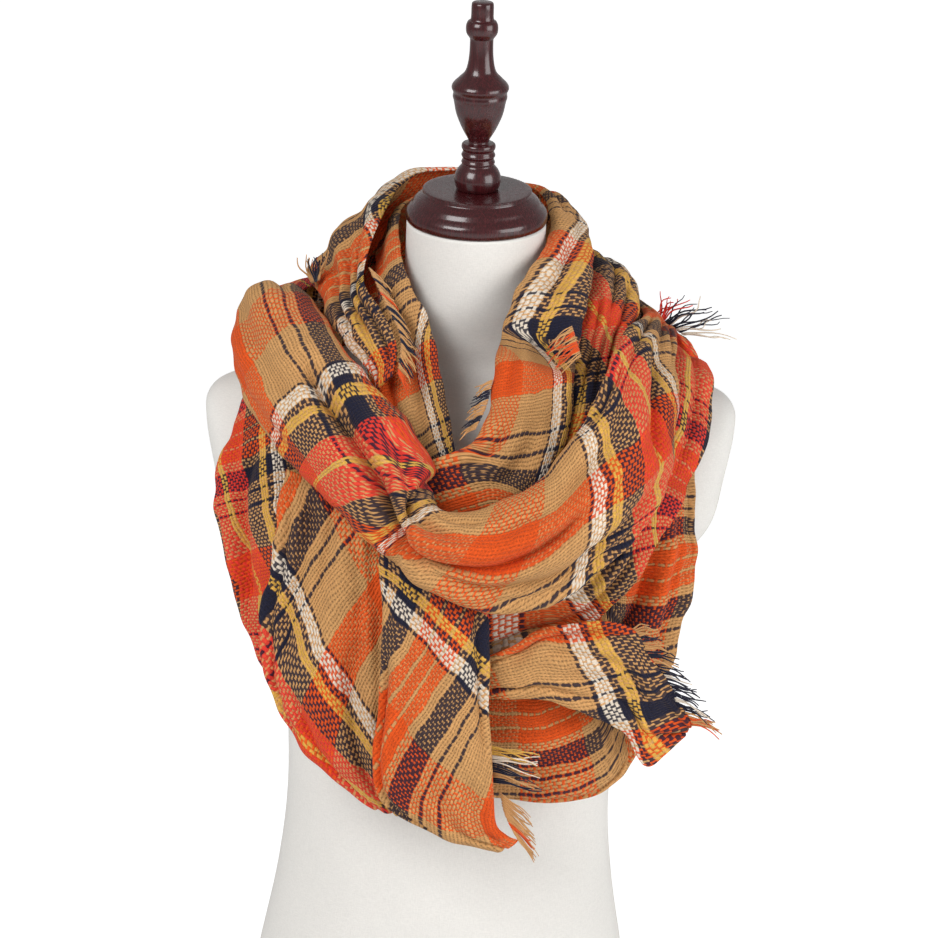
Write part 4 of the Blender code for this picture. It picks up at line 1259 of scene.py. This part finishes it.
class ScarfSettings(bpy.types.PropertyGroup):
    """The scarf's cloth."""

    pitch: Length(name="Yarn spacing", description="Distance between two yarns", default=0.0023)
    wall: Length(name="Thickness", description="Thickness of the cloth", default=0.0016)
    tan: Colour(name="Tan", description="Ground colour of the plaid", default=(0.61, 0.32, 0.12))
    orange: Colour(name="Orange", description="Orange blocks of the plaid", default=(0.74, 0.088, 0.01))
    red: Colour(name="Red", description="Red blocks of the plaid", default=(0.8, 0.043, 0.028))
    navy: Colour(name="Navy", description="Dark blue bands and lines", default=(0.011, 0.012, 0.03))
    mustard: Colour(name="Mustard", description="Yellow lines", default=(0.71, 0.4, 0.07))
    white: Colour(name="White", description="White lines", default=(0.84, 0.73, 0.6))


class FormSettings(bpy.types.PropertyGroup):
    """The dress form's finishes."""

    linen: Colour(name="Linen", description="Colour of the form's cover", default=(0.8, 0.78, 0.74))
    wood_dark: Colour(name="Dark wood", description="Dark of its grain", default=(0.03, 0.004, 0.005))
    wood_light: Colour(name="Light wood", description="Light of its grain", default=(0.065, 0.006, 0.008))


class StageSettings(bpy.types.PropertyGroup):
    """The studio round the form."""

    floor: Colour(name="Floor", description="Colour of the floor and backdrop", default=(0.9, 0.9, 0.9))
    key_power: Power(name="Key light", description="Power of the main light", default=41)
    fill_power: Power(name="Fill light", description="Power of the light on the other side", default=32)
    sky: Strength(name="Sky", description="Strength of the even light from all round", default=0.3)
    floor_glow: Strength(name="Floor glow", description="Glow that only the camera sees", default=0.7)


class SheetOperator:
    """What the operators of the cloth share."""

    bl_options = {"REGISTER", "UNDO"}

    def add(self, *names):
        for name in names:
            stretch = next(one for one in STRETCHES if one.name == name)
            cloth = add_cloth(stretch, bpy.context.scene.scarf.wall)
        return {"FINISHED"}


class SCARF_OT_fringes(bpy.types.Operator):
    """Add the loose yarns along the frayed edges"""

    bl_idname = "scarf.fringes"
    bl_label = "Loose Yarns"

    def execute(self, context):
        for fringe in FRINGES:
            add_fringe(fringe)
        return {"FINISHED"}


class SCARF_OT_neck(SheetOperator, bpy.types.Operator):
    """Add the turn of cloth at the neck and the collar round it"""

    bl_idname = "scarf.neck"
    bl_label = "Neck Turn and Collar"

    def execute(self, context):
        return self.add("neck_turn", "collar")


class SCARF_OT_wraps(SheetOperator, bpy.types.Operator):
    """Add the two whole turns round the shoulders"""

    bl_idname = "scarf.wraps"
    bl_label = "Turns Round the Shoulders"

    def execute(self, context):
        return self.add("lower_turn", "front_wrap")


class SCARF_OT_panels(SheetOperator, bpy.types.Operator):
    """Add the hanging panels and the strip under them"""

    bl_idname = "scarf.panels"
    bl_label = "Hanging Panels"

    def execute(self, context):
        return self.add("left_panel", "center_panel", "under_wrap")


class SCARF_OT_corners(SheetOperator, bpy.types.Operator):
    """Add the two loose corners of the scarf"""

    bl_idname = "scarf.corners"
    bl_label = "Loose Corners"

    def execute(self, context):
        return self.add("corner_flap", "right_tail")


class SCARF_OT_form(bpy.types.Operator):
    """Add the linen-covered form"""

    bl_idname = "scarf.form"
    bl_label = "Dress Form"

    def execute(self, context):
        add_torso()
        return {"FINISHED"}


class SCARF_OT_wood(bpy.types.Operator):
    """Add the turned neck cap and finial"""

    bl_idname = "scarf.wood"
    bl_label = "Neck Cap and Finial"

    def execute(self, context):
        material = wood_material()
        add_turned("wood_cap", CAP, material, "neck_cap")
        add_turned("wood_finial", FINIAL, material, "finial")
        return {"FINISHED"}


def aim(thing, place, roll=0):
    """Put a camera or light at a place, looking at the scarf, rolled about its own view."""
    ahead = Vector(CAMERA_TARGET) - Vector(place)
    thing.location = place
    thing.rotation_mode = "QUATERNION"
    thing.rotation_quaternion = ahead.to_track_quat("-Z", "Y") @ Quaternion((0, 0, 1), roll)
    bpy.context.scene.collection.objects.link(thing)


def add_light(name, place, size, power):
    """A square area light that looks at the scarf."""
    lamp = bpy.data.lights.new(name, "AREA")
    lamp.energy = power
    lamp.size = size
    aim(bpy.data.objects.new(name, lamp), place)


def add_sky(strength):
    """A world that lights evenly from all round, and that the camera sees as nearly white."""
    world = bpy.data.worlds.new("Studio")
    bpy.context.scene.world = world
    world.use_nodes = True
    graph = Graph(world.node_tree)
    power = graph.span(graph.seen(), 0, 1, strength, SKY_SEEN)
    graph.fill(world.node_tree.nodes["Background"], Color=(1, 1, 1, 1), Strength=power)


def add_stage_floor(colour, glow):
    """A floor that bends up into a backdrop, in a quarter circle y = r sin(a), z = r (1 - cos(a))."""
    bend = np.linspace(0, np.pi / 2, BEND_POINTS)
    back = BEND_PLACE + BEND_RADIUS
    y = np.concatenate([[-FLOOR_REACH], BEND_PLACE + BEND_RADIUS * np.sin(bend), [back]])
    z = np.concatenate([[0], BEND_RADIUS * (1 - np.cos(bend)), [FLOOR_REACH]])
    x = np.linspace(-FLOOR_REACH, FLOOR_REACH, FLOOR_COLUMNS)
    points = np.stack(np.broadcast_arrays(x[:, None], y[None], z[None]), -1)
    material, graph, shader = new_material("Pale backdrop")
    graph.fill(shader, Base_Color=(*colour, 1), Roughness=0.9, Emission_Color=(*colour, 1))
    graph.fill(shader, Emission_Strength=graph.math("MULTIPLY", graph.seen(), glow))
    new_object("floor", points, quads_of(*points.shape[:2]).tolist(), material)


class SCARF_OT_stage(bpy.types.Operator):
    """Add the floor, the backdrop, the lights and the camera"""

    bl_idname = "scarf.stage"
    bl_label = "Studio Stage"

    def execute(self, context):
        look = context.scene.stage
        add_stage_floor(look.floor, look.floor_glow)
        add_light("key_light", *KEY_LIGHT, look.key_power)
        add_light("fill_light", *FILL_LIGHT, look.fill_power)
        add_sky(look.sky)
        lens = bpy.data.cameras.new("camera")
        lens.sensor_width = CAMERA_SENSOR
        lens.lens = CAMERA_LENS
        camera = bpy.data.objects.new("camera", lens)
        back = Vector((0, -math.cos(CAMERA_DROP), math.sin(CAMERA_DROP))) * CAMERA_DISTANCE
        aim(camera, Vector(CAMERA_TARGET) + back, CAMERA_ROLL)
        context.scene.camera = camera
        context.scene.view_settings.view_transform = "Standard"
        return {"FINISHED"}


OPERATORS = [
    SCARF_OT_fringes,
    SCARF_OT_neck,
    SCARF_OT_wraps,
    SCARF_OT_panels,
    SCARF_OT_corners,
    SCARF_OT_form,
    SCARF_OT_wood,
    SCARF_OT_stage,
]


class SCARF_PT_panel(bpy.types.Panel):
    """The scarf's settings and the buttons that build it."""

    bl_label = "Scarf"
    bl_idname = "SCARF_PT_panel"
    bl_space_type = "VIEW_3D"
    bl_region_type = "UI"
    bl_category = "Scarf"

    def draw(self, context):
        scene = context.scene
        for settings in (scene.scarf, scene.dress_form, scene.stage):
            box = self.layout.box()
            for name in settings.__annotations__:
                box.prop(settings, name)
        for operator in OPERATORS:
            self.layout.operator(operator.bl_idname)


SETTINGS = {"scarf": ScarfSettings, "dress_form": FormSettings, "stage": StageSettings}


def register():
    for name, group in SETTINGS.items():
        bpy.utils.register_class(group)
        setattr(bpy.types.Scene, name, bpy.props.PointerProperty(type=group))
    for made in (*OPERATORS, SCARF_PT_panel):
        bpy.utils.register_class(made)


def unregister():
    for made in (SCARF_PT_panel, *reversed(OPERATORS)):
        bpy.utils.unregister_class(made)
    for name, group in SETTINGS.items():
        delattr(bpy.types.Scene, name)
        bpy.utils.unregister_class(group)


def main():
    register()
    for operator in OPERATORS:
        family, call = operator.bl_idname.split(".")
        getattr(getattr(bpy.ops, family), call)()


if __name__ == "__main__":
    main()
